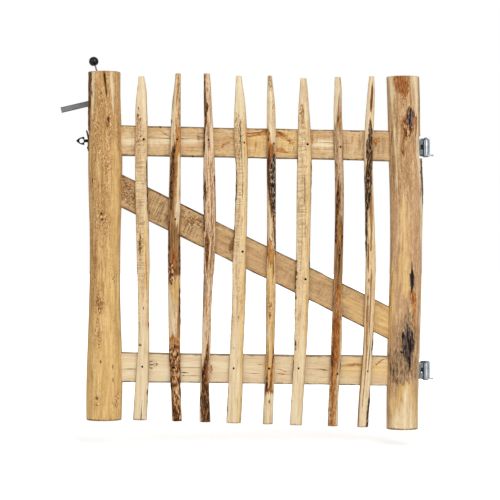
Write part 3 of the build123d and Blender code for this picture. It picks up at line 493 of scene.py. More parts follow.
        ("rust", (0.22, 0.0, 0.0), (0.3, -0.05, 0.2), (0.4, -0.1, 0.2), (0.46, 0.0, 0.0)),
        ("rust", (-0.02, -0.2, 0.2), (0.04, -0.3, 0.26), (0.08, -0.2, 0.3), (0.12, -0.2, 0.0)),
        ("bark", (0.16, -0.55, 0.0), (0.18, -0.55, 0.26), (0.21, -0.5, 0.2), (0.23, -0.4, 0.0)),
        ("cream", (-0.02, 0.85, 0.3), (0.05, 0.85, 0.3), (0.11, 0.8, 0.0)),
        ("cream", (0.1, 0.5, 0.0), (0.13, 0.5, 0.4), (0.16, 0.6, 0.2), (0.3, 0.8, 0.2),
         (0.33, 0.8, 0.0)),
        ("gold", (0.1, 0.4, 0.4), (0.14, 0.4, 0.6), (0.17, 0.4, 0.0)),
        ("resin", (-0.02, -0.25, 0.7), (0.05, -0.15, 0.7), (0.12, -0.1, 0.7), (0.18, 0.0, 0.6),
         (0.3, 0.1, 0.5), (0.33, 0.1, 0.0)),
        ("rust", (0.08, -0.6, 0.0), (0.1, -0.55, 0.3), (0.14, -0.5, 0.3), (0.17, -0.5, 0.2)),
        ("rust", (0.1, 0.35, 0.0), (0.2, 0.25, 0.14), (0.3, 0.3, 0.14), (0.38, 0.4, 0.0)),
        ("pits", (-0.02, -0.6, 0.4), (0.08, -0.6, 0.5), (0.1, -0.6, 0.0)),
        ("bark", (-0.02, -0.95, 0.16), (0.06, -0.95, 0.16), (0.09, -0.95, 0.0)),
    ),
    "pale_8": (
        ("rust", (0.892, 0.2, 0.0), (0.915, 0.22, 0.36), (0.955, 0.17, 0.38), (0.98, 0.15, 0.14),
         (0.99, 0.15, 0.0)),
        ("knot", (0.892, 0.2, 0.0), (0.915, 0.2, 0.28), (0.955, 0.17, 0.3), (0.98, 0.15, 0.1),
         (0.99, 0.15, 0.0)),
        ("rust", (0.84, 0.3, 0.6), (0.86, 0.1, 0.3), (0.883, 0.08, 0.0)),
        ("bark", (0.6, -0.75, 0.3), (0.64, -0.5, 0.55), (0.665, -0.2, 0.85), (0.7, -0.1, 0.95),
         (0.76, 0.1, 0.8), (0.8, 0.2, 0.75), (0.845, 0.35, 0.55), (0.865, 0.12, 0.26),
         (0.878, 0.08, 0.0)),
        ("bark", (0.47, -0.9, 0.0), (0.52, -0.9, 0.22), (0.56, -0.85, 0.3), (0.61, -0.75, 0.34)),
        ("brown", (0.5, 0.0, 0.2), (0.56, 0.2, 0.3), (0.62, 0.3, 0.4), (0.655, 0.3, 0.4),
         (0.67, 0.4, 0.0)),
        ("brown", (0.43, -0.5, 0.0), (0.47, -0.55, 0.16), (0.52, -0.5, 0.16)),
        ("rust", (0.45, -0.55, 0.0), (0.48, -0.55, 0.12), (0.51, -0.55, 0.0)),
        ("cream", (0.77, -0.85, 0.2), (0.83, -0.75, 0.4), (0.9, -0.6, 0.6), (1.02, -0.5, 0.9)),
        ("cream", (0.86, 0.9, 0.0), (0.93, 0.8, 0.24), (1.02, 0.8, 0.3)),
        spot("rust", 0.418, -0.35, 0.01, 0.2),
        spot("rust", 0.37, -0.4, 0.01, 0.2),
        ("split", (0.4, 0.72, 0.0), (0.43, 0.72, 0.06), (0.46, 0.7, 0.0)),
        ("brown", (0.12, -0.3, 0.0), (0.2, -0.3, 0.14), (0.34, -0.5, 0.18), (0.4, -0.4, 0.0)),
        ("brown", (0.2, 0.0, 0.0), (0.3, 0.05, 0.14), (0.42, 0.1, 0.18), (0.46, 0.1, 0.0)),
        ("cream", (-0.02, -0.2, 1.2), (0.2, -0.2, 0.9), (0.36, 0.0, 0.7), (0.42, 0.3, 0.0)),
        ("bark", (-0.02, 0.8, 0.26), (0.06, 0.86, 0.24), (0.12, 0.9, 0.0)),
        ("bark", (0.19, 0.92, 0.0), (0.23, 0.9, 0.22), (0.28, 0.92, 0.0)),
        ("split", (0.06, -0.3, 0.0), (0.07, -0.3, 0.08), (0.1, -0.2, 0.05), (0.13, -0.15, 0.0)),
        ("brown", (0.13, 0.3, 0.0), (0.2, 0.34, 0.1), (0.3, 0.35, 0.0)),
        ("resin", (0.04, -0.2, 0.0), (0.1, -0.2, 0.14), (0.2, -0.2, 0.14), (0.33, -0.35, 0.16),
         (0.4, -0.45, 0.0)),
        ("brown", (0.0, -0.85, 0.1), (0.1, -0.85, 0.12), (0.26, -0.9, 0.1), (0.3, -0.9, 0.0)),
    ),
    "top_rail": (
        ("cream", (-0.02, 0.0, 0.5), (0.08, 0.0, 0.4), (0.22, 0.1, 0.3), (0.36, 0.1, 0.0)),
        ("hatch", (0.05, 0.0, 0.0), (0.08, 0.0, 0.7), (0.14, 0.0, 0.5), (0.2, 0.0, 0.0)),
        ("hatch", (0.44, 0.0, 0.0), (0.47, 0.0, 0.9), (0.65, 0.0, 0.9), (0.67, 0.0, 0.0)),
        ("hatch", (0.69, 0.2, 0.0), (0.72, 0.2, 0.6), (0.9, 0.0, 0.8), (0.96, 0.0, 0.8),
         (0.98, 0.0, 0.0)),
        ("gold", (0.44, 0.0, 0.6), (0.5, 0.1, 1.3), (0.6, 0.1, 1.3), (0.66, 0.0, 0.6)),
        ("resin", (0.465, 0.62, 0.0), (0.475, 0.66, 0.07), (0.5, 0.66, 0.08), (0.52, 0.76, 0.08),
         (0.55, 0.86, 0.06)),
        ("resin", (0.465, 0.4, 0.0), (0.485, 0.5, 0.12), (0.51, 0.6, 0.16), (0.54, 0.65, 0.1),
         (0.55, 0.6, 0.0)),
        ("rust", (0.467, 0.62, 0.0), (0.475, 0.64, 0.05), (0.5, 0.68, 0.06), (0.53, 0.8, 0.06),
         (0.552, 0.88, 0.0)),
        ("rust", (0.565, 0.84, 0.05), (0.59, 0.66, 0.07), (0.605, 0.46, 0.06), (0.62, 0.24, 0.06),
         (0.645, -0.05, 0.0)),
        ("resin", (0.565, 0.84, 0.05), (0.585, 0.7, 0.07), (0.605, 0.5, 0.07), (0.62, 0.22, 0.06),
         (0.635, 0.02, 0.06), (0.65, -0.1, 0.0)),
        ("resin", (0.565, 0.5, 0.1), (0.58, 0.6, 0.2), (0.6, 0.4, 0.14), (0.62, 0.1, 0.08),
         (0.635, -0.1, 0.0)),
        ("brown", (0.58, 0.86, 0.0), (0.6, 0.66, 0.03), (0.625, 0.3, 0.03), (0.64, 0.1, 0.0)),
        ("brown", (0.591, -0.2, 0.0), (0.594, -0.2, 0.6), (0.597, -0.2, 0.0)),
        ("brown", (0.631, -0.4, 0.0), (0.634, -0.4, 0.5), (0.637, -0.4, 0.0)),
        ("resin", (0.565, -0.4, 0.0), (0.58, -0.4, 0.2), (0.6, -0.5, 0.2), (0.62, -0.6, 0.0)),
        ("resin", (0.5, -0.1, 0.0), (0.505, -0.1, 0.5), (0.51, -0.1, 0.0)),
        ("resin", (0.37, -0.8, 0.0), (0.378, -0.5, 0.08), (0.39, -0.2, 0.07), (0.41, 0.0, 0.06),
         (0.435, 0.12, 0.0)),
        ("brown", (0.375, -0.6, 0.0), (0.385, -0.3, 0.07), (0.4, -0.1, 0.07), (0.425, 0.08, 0.0)),
        spot("knot", 0.179, 0.96, 0.008, 0.14),
        spot("knot", 0.125, 0.96, 0.006, 0.1),
        spot("knot", 0.29, -0.96, 0.005, 0.12),
        spot("knot", 0.82, -0.94, 0.006, 0.14),
        ("brown", (0.17, 0.85, 0.0), (0.19, 0.6, 0.04), (0.21, 0.3, 0.05), (0.22, 0.25, 0.0)),
        ("brown", (0.04, 0.22, 0.0), (0.12, 0.22, 0.03), (0.25, 0.2, 0.03), (0.45, 0.18, 0.0)),
        ("brown", (0.14, -0.4, 0.0), (0.3, -0.35, 0.025), (0.34, -0.35, 0.0)),
        ("brown", (0.25, 0.6, 0.0), (0.34, 0.55, 0.02), (0.43, 0.55, 0.0)),
        ("brown", (0.69, 0.15, 0.0), (0.76, 0.12, 0.025), (0.86, 0.1, 0.0)),
        ("brown", (0.68, -0.3, 0.0), (0.76, -0.32, 0.02), (0.82, -0.3, 0.0)),
        ("resin", (0.89, 0.3, 0.0), (0.905, 0.36, 0.16), (0.92, 0.4, 0.2), (0.935, 0.35, 0.0)),
        ("resin", (0.69, 0.3, 0.0), (0.696, 0.3, 0.5), (0.702, 0.3, 0.0)),
        ("brown", (0.905, 0.3, 0.0), (0.912, 0.2, 0.5), (0.918, 0.2, 0.0)),
        ("stain", (0.3, 0.3, 0.0), (0.31, 0.3, 0.3), (0.325, 0.2, 0.0)),
        ("cream", (0.67, 0.0, 0.2), (0.72, 0.0, 0.4), (0.78, 0.0, 0.3), (0.8, 0.0, 0.0)),
    ),
    "bottom_rail": (
        ("brown", (0.04, -0.12, 0.0), (0.08, -0.1, 0.05), (0.11, -0.1, 0.0)),
        ("pits", (0.135, 0.2, 0.0), (0.15, 0.25, 0.4), (0.175, 0.2, 0.0)),
        ("split", (0.138, 0.2, 0.0), (0.15, 0.2, 0.04), (0.165, 0.2, 0.0)),
        ("split", (0.14, -0.02, 0.0), (0.15, -0.02, 0.04), (0.16, -0.02, 0.0)),
        ("split", (0.14, 0.4, 0.0), (0.146, 0.4, 0.04), (0.155, 0.4, 0.0)),
        ("split", (0.245, -0.3, 0.0), (0.26, -0.3, 0.04), (0.28, -0.3, 0.0)),
        ("split", (0.25, -0.48, 0.0), (0.26, -0.48, 0.03), (0.27, -0.48, 0.0)),
        ("brown", (0.25, 0.05, 0.0), (0.3, 0.04, 0.03), (0.41, 0.04, 0.0)),
        ("brown", (0.25, -0.5, 0.0), (0.3, -0.5, 0.025), (0.32, -0.5, 0.0)),
        ("resin", (0.348, -0.1, 0.0), (0.354, -0.1, 0.5), (0.36, -0.1, 0.0)),
        ("brown", (0.46, -0.3, 0.0), (0.5, -0.3, 0.025), (0.53, -0.3, 0.0)),
        ("resin", (0.505, 0.3, 0.0), (0.52, 0.32, 0.05), (0.535, 0.3, 0.0)),
        ("resin", (0.57, 0.05, 0.0), (0.59, 0.0, 0.05), (0.625, -0.3, 0.0)),
        ("resin", (0.57, -0.25, 0.0), (0.59, -0.3, 0.04), (0.625, -0.35, 0.0)),
        ("brown", (0.67, 0.1, 0.0), (0.72, 0.05, 0.04), (0.74, 0.0, 0.1), (0.755, 0.0, 0.0)),
        ("resin", (0.78, 0.3, 0.0), (0.82, 0.35, 0.12), (0.85, 0.4, 0.1), (0.87, 0.4, 0.0)),
        ("gold", (0.76, 0.1, 0.3), (0.84, 0.1, 0.8), (0.99, 0.1, 0.9)),
        ("resin", (0.9, 0.25, 0.0), (0.915, 0.45, 0.06), (0.935, 0.7, 0.06), (0.955, 0.9, 0.0)),
        ("cream", (-0.02, 0.0, 1.6), (0.25, 0.0, 1.2), (0.5, 0.0, 0.5), (0.62, 0.0, 0.0)),
    ),
    "diagonal_brace": (
        ("hatch", (0.03, 0.0, 0.8), (0.1, 0.0, 1.0), (0.3, 0.1, 0.9), (0.36, 0.1, 0.0)),
        ("pits", (0.03, 0.1, 0.8), (0.07, 0.2, 1.2), (0.11, 0.2, 0.8), (0.13, 0.2, 0.0)),
        ("stain", (0.02, 0.2, 0.8), (0.06, 0.2, 1.0), (0.1, 0.2, 0.6), (0.13, 0.2, 0.0)),
        ("pits", (0.24, 0.2, 0.0), (0.28, 0.2, 0.8), (0.33, 0.3, 0.0)),
        ("stain", (0.255, 0.2, 0.0), (0.272, 0.15, 0.45), (0.288, 0.3, 0.5), (0.3, 0.35, 0.0)),
        ("stain", (0.295, 0.5, 0.0), (0.306, 0.5, 0.3), (0.316, 0.5, 0.0)),
        spot("bark", 0.277, 0.2, 0.012, 0.16),
        spot("bark", 0.287, 0.05, 0.008, 0.1),
        ("bark", (0.19, 0.98, 0.08), (0.25, 0.98, 0.1), (0.32, 0.98, 0.06)),
        ("bark", (0.07, 0.98, 0.06), (0.12, 0.98, 0.08), (0.17, 0.98, 0.06)),
        ("stain", (0.235, 0.5, 0.0), (0.245, 0.4, 0.5), (0.255, 0.2, 0.0)),
        ("brown", (0.41, 0.3, 0.0), (0.425, 0.0, 0.6), (0.435, -0.2, 0.0)),
        ("stain", (0.64, 0.5, 0.0), (0.65, 0.1, 0.6), (0.665, -0.3, 0.0)),
        ("gold", (0.8, 0.0, 0.3), (0.9, 0.0, 0.9), (1.0, 0.0, 1.0)),
    ),
}

# Nails: pale number, x and z
NAILS = (
    (1, -0.8089, 0.6618), (2, -0.7143, 0.6618), (3, -0.6227, 0.6604), (4, -0.5224, 0.6524),
    (5, -0.4378, 0.649), (6, -0.3404, 0.6475), (7, -0.2473, 0.6403), (2, -0.72, 0.4332),
    (4, -0.5264, 0.3404), (6, -0.3467, 0.2616), (1, -0.8126, 0.0115), (2, -0.7229, 0.0092),
    (4, -0.551, 0.0066), (5, -0.4507, 0.0066), (6, -0.3656, 0.0066), (7, -0.2559, -0.0092),
    (8, -0.1694, -0.0014), (3, -0.6343, 0.0085), (8, -0.163, 0.638),
)


# Numbers on whole arrays

def smooth_step(low, high, value):
    """A cubic ease from 0 at low to 1 at high."""
    t = np.clip((value - low) / (high - low), 0.0, 1.0)
    return t * t * (3.0 - 2.0 * t)


def lattice(ix, iy, iz, seed):
    """A fixed number from 0 to 1 for each whole-number lattice point: mixed integer products."""
    n = (ix * 73856093) ^ (iy * 19349663) ^ (iz * 83492791) ^ (seed * 668265263)
    n = (n ^ (n >> 13)) * 1274126177 & 0x7FFFFFFF
    return ((n ^ (n >> 16)) & 0xFFFF) / 65535.0


def lump(points, seed):
    """Value noise from -1 to 1: lattice numbers blended along x, y and z by cubic ease."""
    cell = np.floor(points).astype(np.int64)
    part = points - cell
    part = part * part * (3.0 - 2.0 * part)
    total = 0.0
    for corner in range(8):
        step = np.array((corner & 1, corner >> 1 & 1, corner >> 2 & 1))
        weight = np.where(step == 1, part, 1.0 - part).prod(axis=-1)
        at = cell + step
        total = total + weight * lattice(at[..., 0], at[..., 1], at[..., 2], seed)
    return total * 2.0 - 1.0


def rough(points, seed, layers=3):
    """Layers of value noise, each twice as fine and half as strong."""
    return sum(lump(points * 2.0 ** k, seed + k) * 0.5 ** k for k in range(layers))


def through(shares, values, at):
    """The natural cubic spline through the stations, evaluated at an array of shares."""
    x, y = np.asarray(shares, float), np.asarray(values, float)
    h, n = np.diff(x), len(x)
    i = np.arange(1, n - 1)
    system, right = np.eye(n), np.zeros(n)
    system[i, i - 1], system[i, i], system[i, i + 1] = h[:-1], 2.0 * (h[:-1] + h[1:]), h[1:]
    right[1:-1] = 6.0 * np.diff(np.diff(y) / h)
    bend = np.linalg.solve(system, right)
    k = np.clip(np.searchsorted(x, at) - 1, 0, n - 2)
    a, b = x[k + 1] - at, at - x[k]
    curve = (bend[k] * a ** 3 + bend[k + 1] * b ** 3) / (6.0 * h[k])
    curve = curve + (y[k] / h[k] - bend[k] * h[k] / 6.0) * a
    return curve + (y[k + 1] / h[k] - bend[k + 1] * h[k] / 6.0) * b


def paint(piece, share, across, wobble, fray, around=False):
    """Each mark is a ridge along its ribbon: 1 on the middle line, 0 at the half width and falling on to
    -1 outside. Middle and half width run straight from station to station, the ends close over a short
    stretch, a slow noise moves the edges and fray shifts each fibre along the grain.
    Around wraps the gap to one turn."""
    fields = {kind: np.full_like(share, -1.0) for kind in FIELDS}
    for kind, *stations in MARKS.get(piece, ()):
        at, middle, half = np.array(stations).T
        here = share + fray * min(MOST_FRAY, FRAY_SHARE * (at[-1] - at[0]))
        gap = across - np.interp(here, at, middle)
        if around:
            gap = (gap + 0.5) % 1.0 - 0.5
        ridge = 1.0 - np.abs(gap) / (np.interp(here, at, half) + 1e-6)
        closing = np.minimum(here - at[0], at[-1] - here) / MARK_CLOSING
        ridge = np.minimum(ridge, closing) + wobble * MARK_WANDER
        mark = np.clip(np.where(closing > 0.0, ridge, -1.0), -1.0, 1.0)
        fields[kind] = np.maximum(fields[kind], mark)
    return fields


def raised(fields, kind):
    """How much of a mark stands at a point, from 0 outside to 1 well inside."""
    return smooth_step(0.0, 0.6, fields[kind])


def with_ends(rings, fields, arris, axis):
    """Adds to both ends of a stack of rings a quarter-round arris of that radius and then smaller
    copies of the end ring about its middle, so that a fan can close it."""
    turn = np.array((0.4, 0.75, 1.0)) * math.pi / 2
    inner = np.array((0.82, 0.58, 0.34, 0.14))

    def end_rows(ring, outward):
        middle = ring.mean(axis=0)
        reach = np.linalg.norm(ring - middle, axis=1).mean()
        lip = 1.0 - arris * (1.0 - np.cos(turn)) / reach
        scale = np.concatenate((lip, lip[-1] * inner))
        push = np.concatenate((arris * np.sin(turn), np.full(len(inner), arris)))
        return middle + (ring - middle) * scale[:, None, None] + push[:, None, None] * outward

    axis = np.asarray(axis, float)
    low = end_rows(rings[0], -axis)[::-1]
    high = end_rows(rings[-1], axis)
    count = len(turn) + len(inner)
    out = {}
    for key, value in fields.items():
        if value.ndim == 3:
            across = np.array((1.0, 1.0, 0.0))
            scale = np.concatenate((np.ones(len(turn)), inner))[:, None, None]
            shrink = 1.0 - across + across * scale
            out[key] = np.concatenate(((value[0] * shrink)[::-1], value, value[-1] * shrink))
        else:
            first, last = np.repeat(value[:1], count, 0), np.repeat(value[-1:], count, 0)
            out[key] = np.concatenate((first, value, last))
    cut = np.concatenate((np.full(len(turn), 0.6), np.ones(len(inner))))
    rows = np.concatenate((cut[::-1], np.zeros(len(rings)), cut))
    out["endgrain"] = rows[:, None] * np.ones(rings.shape[1])
    return np.concatenate((low, rings, high)), out


def ring_mesh(name, rings, fields):
    """A closed skin: quads between neighbouring rings and a fan to the middle of each end ring."""
    rows, count, _ = rings.shape
    points = np.concatenate((rings.reshape(-1, 3), rings[:1].mean(axis=1), rings[-1:].mean(axis=1)))
    u = np.arange(count)
    after = np.roll(u, -1)
    base = np.arange(rows - 1)[:, None] * count
    quads = np.stack((base + u, base + after, base + count + after, base + count + u), axis=-1)
    quads = quads.reshape(-1, 4)
    last, foot, head = (rows - 1) * count, rows * count, rows * count + 1
    low_fan = np.stack((np.full(count, foot), after, u), axis=-1)
    high_fan = np.stack((np.full(count, head), last + u, last + after), axis=-1)
    mesh = bpy.data.meshes.new(name)
    mesh.from_pydata(points.tolist(), [], quads.tolist() + low_fan.tolist() + high_fan.tolist())
    for key, value in fields.items():
        ends = np.stack((value[0].mean(axis=0), value[-1].mean(axis=0)))
        if value.ndim == 3:
            store = mesh.attributes.new(key, "FLOAT_VECTOR", "POINT")
            store.data.foreach_set("vector", np.concatenate((value.reshape(-1, 3), ends)).ravel())
        else:
            store = mesh.attributes.new(key, "FLOAT", "POINT")
            store.data.foreach_set("value", np.concatenate((value.ravel(), ends)))
    mesh.shade_smooth()
    mesh.set_sharp_from_angle(angle=WOOD_SHARP)
    mesh.update()
    return mesh


def place(name, mesh, material, body, node=None):
    """Links a finished mesh, puts it on its body and lets it stand for its CAD node."""
    piece = bpy.data.objects.new(name, mesh)
    bpy.context.scene.collection.objects.link(piece)
    mesh.materials.append(material)
    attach(piece, body)
    if node:
        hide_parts(node)


# Shapes of the wood. Noise scales are waves per metre, across and along the grain.

def pole_surface(node, sizes, seed):
    """A peeled pole: at each height a ring of radius half the splined width, its centre on the splined
    sway and depth. Fibre noise, shaving flats, knots and bark stand out along the radius, splits sink
    in, and the planed seats cut it off at a plane. Relief is in millimetres."""
    form = STILE_FORMS[node]
    arris = sizes.arris
    rows = np.linspace(arris / form["height"], 1.0 - arris / form["height"], POLE_ROWS)
    beside = 0.3 * MM        # rows this close to each seat's edges keep them crisp
    extra = [(z + side - form["foot"]) / form["height"]
             for low, high, *_ in SEATS[node] for z in (low, high) for side in (-beside, beside)]
    rows = np.unique(np.concatenate((rows, [e for e in extra if rows[0] < e < rows[-1]])))
    turn = np.arange(POLE_TURNS) / POLE_TURNS - 0.5
    share, around = np.meshgrid(rows, turn, indexing="ij")
    out_x, out_y = np.sin(2 * math.pi * around), -np.cos(2 * math.pi * around)
    radius = through(STILE_STATIONS, form["width"], rows)[:, None] * STILE_DIAMETER / 2
    along = share * form["height"]
    grain = np.stack((out_x * radius, out_y * radius, along), axis=-1)
    wobble = rough(grain * (60.0, 60.0, 25.0), seed)
    fray = rough(grain * (260.0, 260.0, 3.0), seed + 61, 2)
    fields = paint(node, share, around, wobble, fray, around=True)
    fibre = rough(grain * (260.0, 260.0, 9.0), seed + 11)
    flats = lump(grain * (26.0, 26.0, 4.0), seed + 23)
    flake = rough(grain * (150.0, 150.0, 60.0), seed + 31)
    relief = 0.22 * fibre + 0.5 * flats
    relief += raised(fields, "knot") * (0.8 + 1.6 * flake) + raised(fields, "bark") * (0.7 + 1.1 * flake)
    relief += raised(fields, "rust") * 0.4 * flake - 2.6 * raised(fields, "split")
    reach = radius + relief * sizes.relief * MM
    x = form["axis"] + through(STILE_STATIONS, form["sway"], rows)[:, None] * STILE_DIAMETER + out_x * reach
    y = LEAF_Y + through(STILE_STATIONS, form["depth"], rows)[:, None] * STILE_DIAMETER + out_y * reach
    z = form["foot"] + along
    for low, high, side, limit in SEATS[node]:
        inside = (z > low) & (z < high)
        if side == "+x":
            x = np.where(inside, np.minimum(x, limit), x)
        elif side == "-x":
            x = np.where(inside, np.maximum(x, limit), x)
        else:
            y = np.where(inside, np.minimum(y, limit), y)
    # Painted shadow: a dark band at the foot of the pole
    fields["edge"] = np.clip(1.0 - along / POLE_FOOT_SHADE, -1.0, 1.0)
    fields["grain"] = grain
    rings, fields = with_ends(np.stack((x, y, z), axis=-1), fields, arris, (0, 0, 1))
    fields["ring"] = np.linalg.norm(fields["grain"][..., :2], axis=-1)
    return rings, fields


def board_surface(node, sizes, seed):
    """A sawn board: a rounded rectangle carried along a straight line, its width waisted as a parabola.
    Saw ripples run across its faces, its edges wander a little, and splits sink in. Relief is in
    millimetres. The ring field is the distance from a pith line that wanders behind the face."""
    start, end, width = BOARDS[node]
    start, end = np.array((start[0], LEAF_Y, start[1])), np.array((end[0], LEAF_Y, end[1]))
    run = end - start
    length = np.linalg.norm(run)
    along_dir = run / length
    up_dir = np.array((-along_dir[2], 0.0, along_dir[0]))
    rows = np.linspace(BOARD_TRIM, 1.0 - BOARD_TRIM, BOARD_ROWS)
    corner = BOARD_ROUND
    quarter = np.linspace(0.0, 1.0, BOARD_CORNER + 2)[1:-1] * math.pi / 2
    face, back, edge = (np.linspace(-1.0, 1.0, count) for count in (BOARD_FACE, BOARD_BACK, BOARD_EDGE))
    core, normal = [], []
    sides = ((np.ones_like(edge), edge, 0.0), (-face, np.ones_like(face), 0.5),
             (-np.ones_like(edge), -edge, 1.0), (back, -np.ones_like(back), 1.5))
    for up, front, angle in sides:
        core.append(np.stack((up, front), axis=-1))
        facing = np.array((math.cos(angle * math.pi), math.sin(angle * math.pi)))
        normal.append(np.broadcast_to(facing, (len(up), 2)))
        bend = angle * math.pi + quarter
        core.append(np.broadcast_to(core[-1][-1], (len(quarter), 2)))
        normal.append(np.stack((np.cos(bend), np.sin(bend)), axis=-1))
    core, normal = np.concatenate(core), np.concatenate(normal)
    half_up = width / 2 * (1.0 - BOARD_WAIST * (1.0 - (2.0 * rows - 1.0) ** 2))[:, None]
    half_front = BOARD_THICKNESS / 2
    share = np.repeat(rows[:, None], len(core), 1)
    along = share * length
    up = core[:, 0] * (half_up - corner) + normal[:, 0] * corner
    front = np.broadcast_to(core[:, 1] * (half_front - corner) + normal[:, 1] * corner, up.shape)
    grain = np.stack((up, front, along), axis=-1)
    wobble = rough(grain * (70.0, 70.0, 16.0), seed)
    fray = rough(grain * (260.0, 260.0, 3.0), seed + 61, 2)
    fields = paint(node, share, up / half_up, wobble, fray)
    pitch = sizes.saw_pitch
    lean = up * 0.25 + 0.8 * MM * lump(grain * (30.0, 30.0, 30.0), seed + 5)
    patch = smooth_step(-0.3, 0.6, lump(grain * (18.0, 0.0, 9.0), seed + 9))
    ripple = np.sin(2 * math.pi * (along + lean) / pitch) * patch
    fibre = rough(grain * (300.0, 300.0, 10.0), seed + 13)
    edge_wander = lump(grain * (4.0, 20.0, 26.0), seed + 17) * np.abs(normal[:, 0])
    relief = 0.1 * ripple + 0.16 * fibre + 0.7 * edge_wander
    relief += 0.5 * raised(fields, "knot") - 0.9 * raised(fields, "split")
    move = relief * sizes.relief * MM
    up2 = up + normal[:, 0] * move
    front2 = front + normal[:, 1] * np.minimum(move, 0.05 * MM)
    points = start + along[..., None] * along_dir + up2[..., None] * up_dir
    points = points + front2[..., None] * np.array((0.0, -1.0, 0.0))
    pith = 0.012 * lump(np.stack((along * 2.2, along * 0.0, along * 0.0), axis=-1), seed + 19)
    # Painted shade and dirt along the board's top and bottom edges
    fields["edge"] = np.clip(1.0 - (half_up - np.abs(up)) / BOARD_EDGE_SHADE_AND_DIRT, -1.0, 1.0)
    fields["grain"] = grain
    fields["ring"] = np.hypot(up - pith, front + 0.03)
    return with_ends(points, fields, BOARD_ARRIS, along_dir)


def pale_surface(number, sizes):
    """A cleft pale: at each height a seven-sided section, flat behind and ridged in front, of splined
    width, depth and sway, its corners eased by averaging neighbours around the ring. Torn fibre, bark
    and saw ripples stand out from the section, and nothing stands out of the flat back. Corners are
    shares of width and depth, and relief is in millimetres."""
    node = "pale_" + str(number)
    seed = sizes.seed + PALE_SEED + PALE_SEED_STEP * number
    i = number - 1
    foot = PALE_FOOT - i / (PALE_COUNT - 1) * PALE_FOOT_DROP
    length = PALE_LENGTH * PALE_LENGTHS[i]
    rows = np.linspace(PALE_ARRIS / length, 1.0 - PALE_ARRIS / length, PALE_ROWS)
    middle = FIRST_PALE_X + i * PALE_PITCH + through(PALE_STATIONS, PALE_SWAYS[i], rows) * PALE_PITCH
    width = through(PALE_STATIONS, PALE_WIDTHS[i], rows) * PALE_WIDTH
    depth = through(PALE_STATIONS, PALE_DEPTHS, rows) * PALE_DEPTH
    ridge = PALE_RIDGES[i]
    left, right = -0.5 + (ridge + 0.5) * 0.62, 0.5 + (ridge - 0.5) * 0.62
    corner_x = np.array((0.42, -0.42, -0.5, left, ridge, right, 0.5))
    corner_y = np.array((0.0, 0.0, -0.42, -0.86, -1.0, -0.86, -0.42))
    step = np.arange(PALE_SIDE) / PALE_SIDE

    def ring_of(corners):
        return (corners[:, None] * (1.0 - step) + np.roll(corners, -1)[:, None] * step).ravel()

    px, py = ring_of(corner_x), ring_of(corner_y)
    for _ in range(3):
        px = (np.roll(px, 1) + 2.0 * px + np.roll(px, -1)) / 4.0
        eased = (np.roll(py, 1) + 2.0 * py + np.roll(py, -1)) / 4.0
        py = np.where(py > -0.02, py, eased)
    x = px * width[:, None]
    y = py * depth[:, None]
    share = np.repeat(rows[:, None], x.shape[1], 1)
    along = share * length
    grain = np.stack((x, y, along), axis=-1)
    across = x / (width[:, None] / 2)
    wobble = rough(grain * (150.0, 150.0, 16.0), seed)
    fray = rough(grain * (400.0, 400.0, 3.0), seed + 61, 2)
    fields = paint(node, share, across, wobble, fray)
    front = smooth_step(0.0, 0.35, -py)[None, :] * np.ones_like(x)
    for kind in FIELDS:
        fields[kind] = np.where(front > 0.05, fields[kind], np.minimum(fields[kind], 0.2 * wobble))
    tangent = np.stack((np.roll(px, -1) - np.roll(px, 1), np.roll(py, -1) - np.roll(py, 1)), axis=-1)
    normal = np.stack((tangent[:, 1], -tangent[:, 0]), axis=-1)
    normal /= np.linalg.norm(normal, axis=1, keepdims=True)
    fibre = rough(grain * (330.0, 330.0, 12.0), seed + 11)
    hew = lump(grain * (70.0, 70.0, 9.0), seed + 21)
    flake = rough(grain * (220.0, 220.0, 70.0), seed + 31)
    saw = SAWN_PALES.get(number, 0.0) * np.sin(2 * math.pi * (along + x * 0.1) / sizes.saw_pitch)
    saw = saw * smooth_step(-0.2, 0.5, lump(grain * (20.0, 0.0, 14.0), seed + 41))
    saw = saw * smooth_step(0.35, -0.1, across)
    relief = 0.36 * fibre + 0.75 * hew + 0.12 * saw
    relief += raised(fields, "bark") * (0.4 + 1.0 * flake) + raised(fields, "knot") * 0.5
    relief -= 1.5 * raised(fields, "split")
    move = relief * sizes.relief * MM * front
    x = x + normal[:, 0] * move
    y = y + normal[:, 1] * move
    points = np.stack((middle[:, None] + x, BOARD_FRONT + y, foot + along), axis=-1)
    # Painted shade and dirt at the pale's foot and along both its sides
    foot_line = 1.0 - along / PALE_FOOT_SHADE_AND_DIRT
    side_line = 1.0 - (1.0 - np.abs(across)) / PALE_SIDE_SHADE_AND_DIRT
    fields["edge"] = np.clip(np.maximum(side_line, foot_line), -1.0, 1.0)
    fields["grain"] = grain
    fields["ring"] = np.hypot(grain[..., 0] + 0.02 * (1 if i % 2 else -1), grain[..., 1] - 0.03)
    return with_ends(points, fields, PALE_ARRIS, (0, 0, 1))


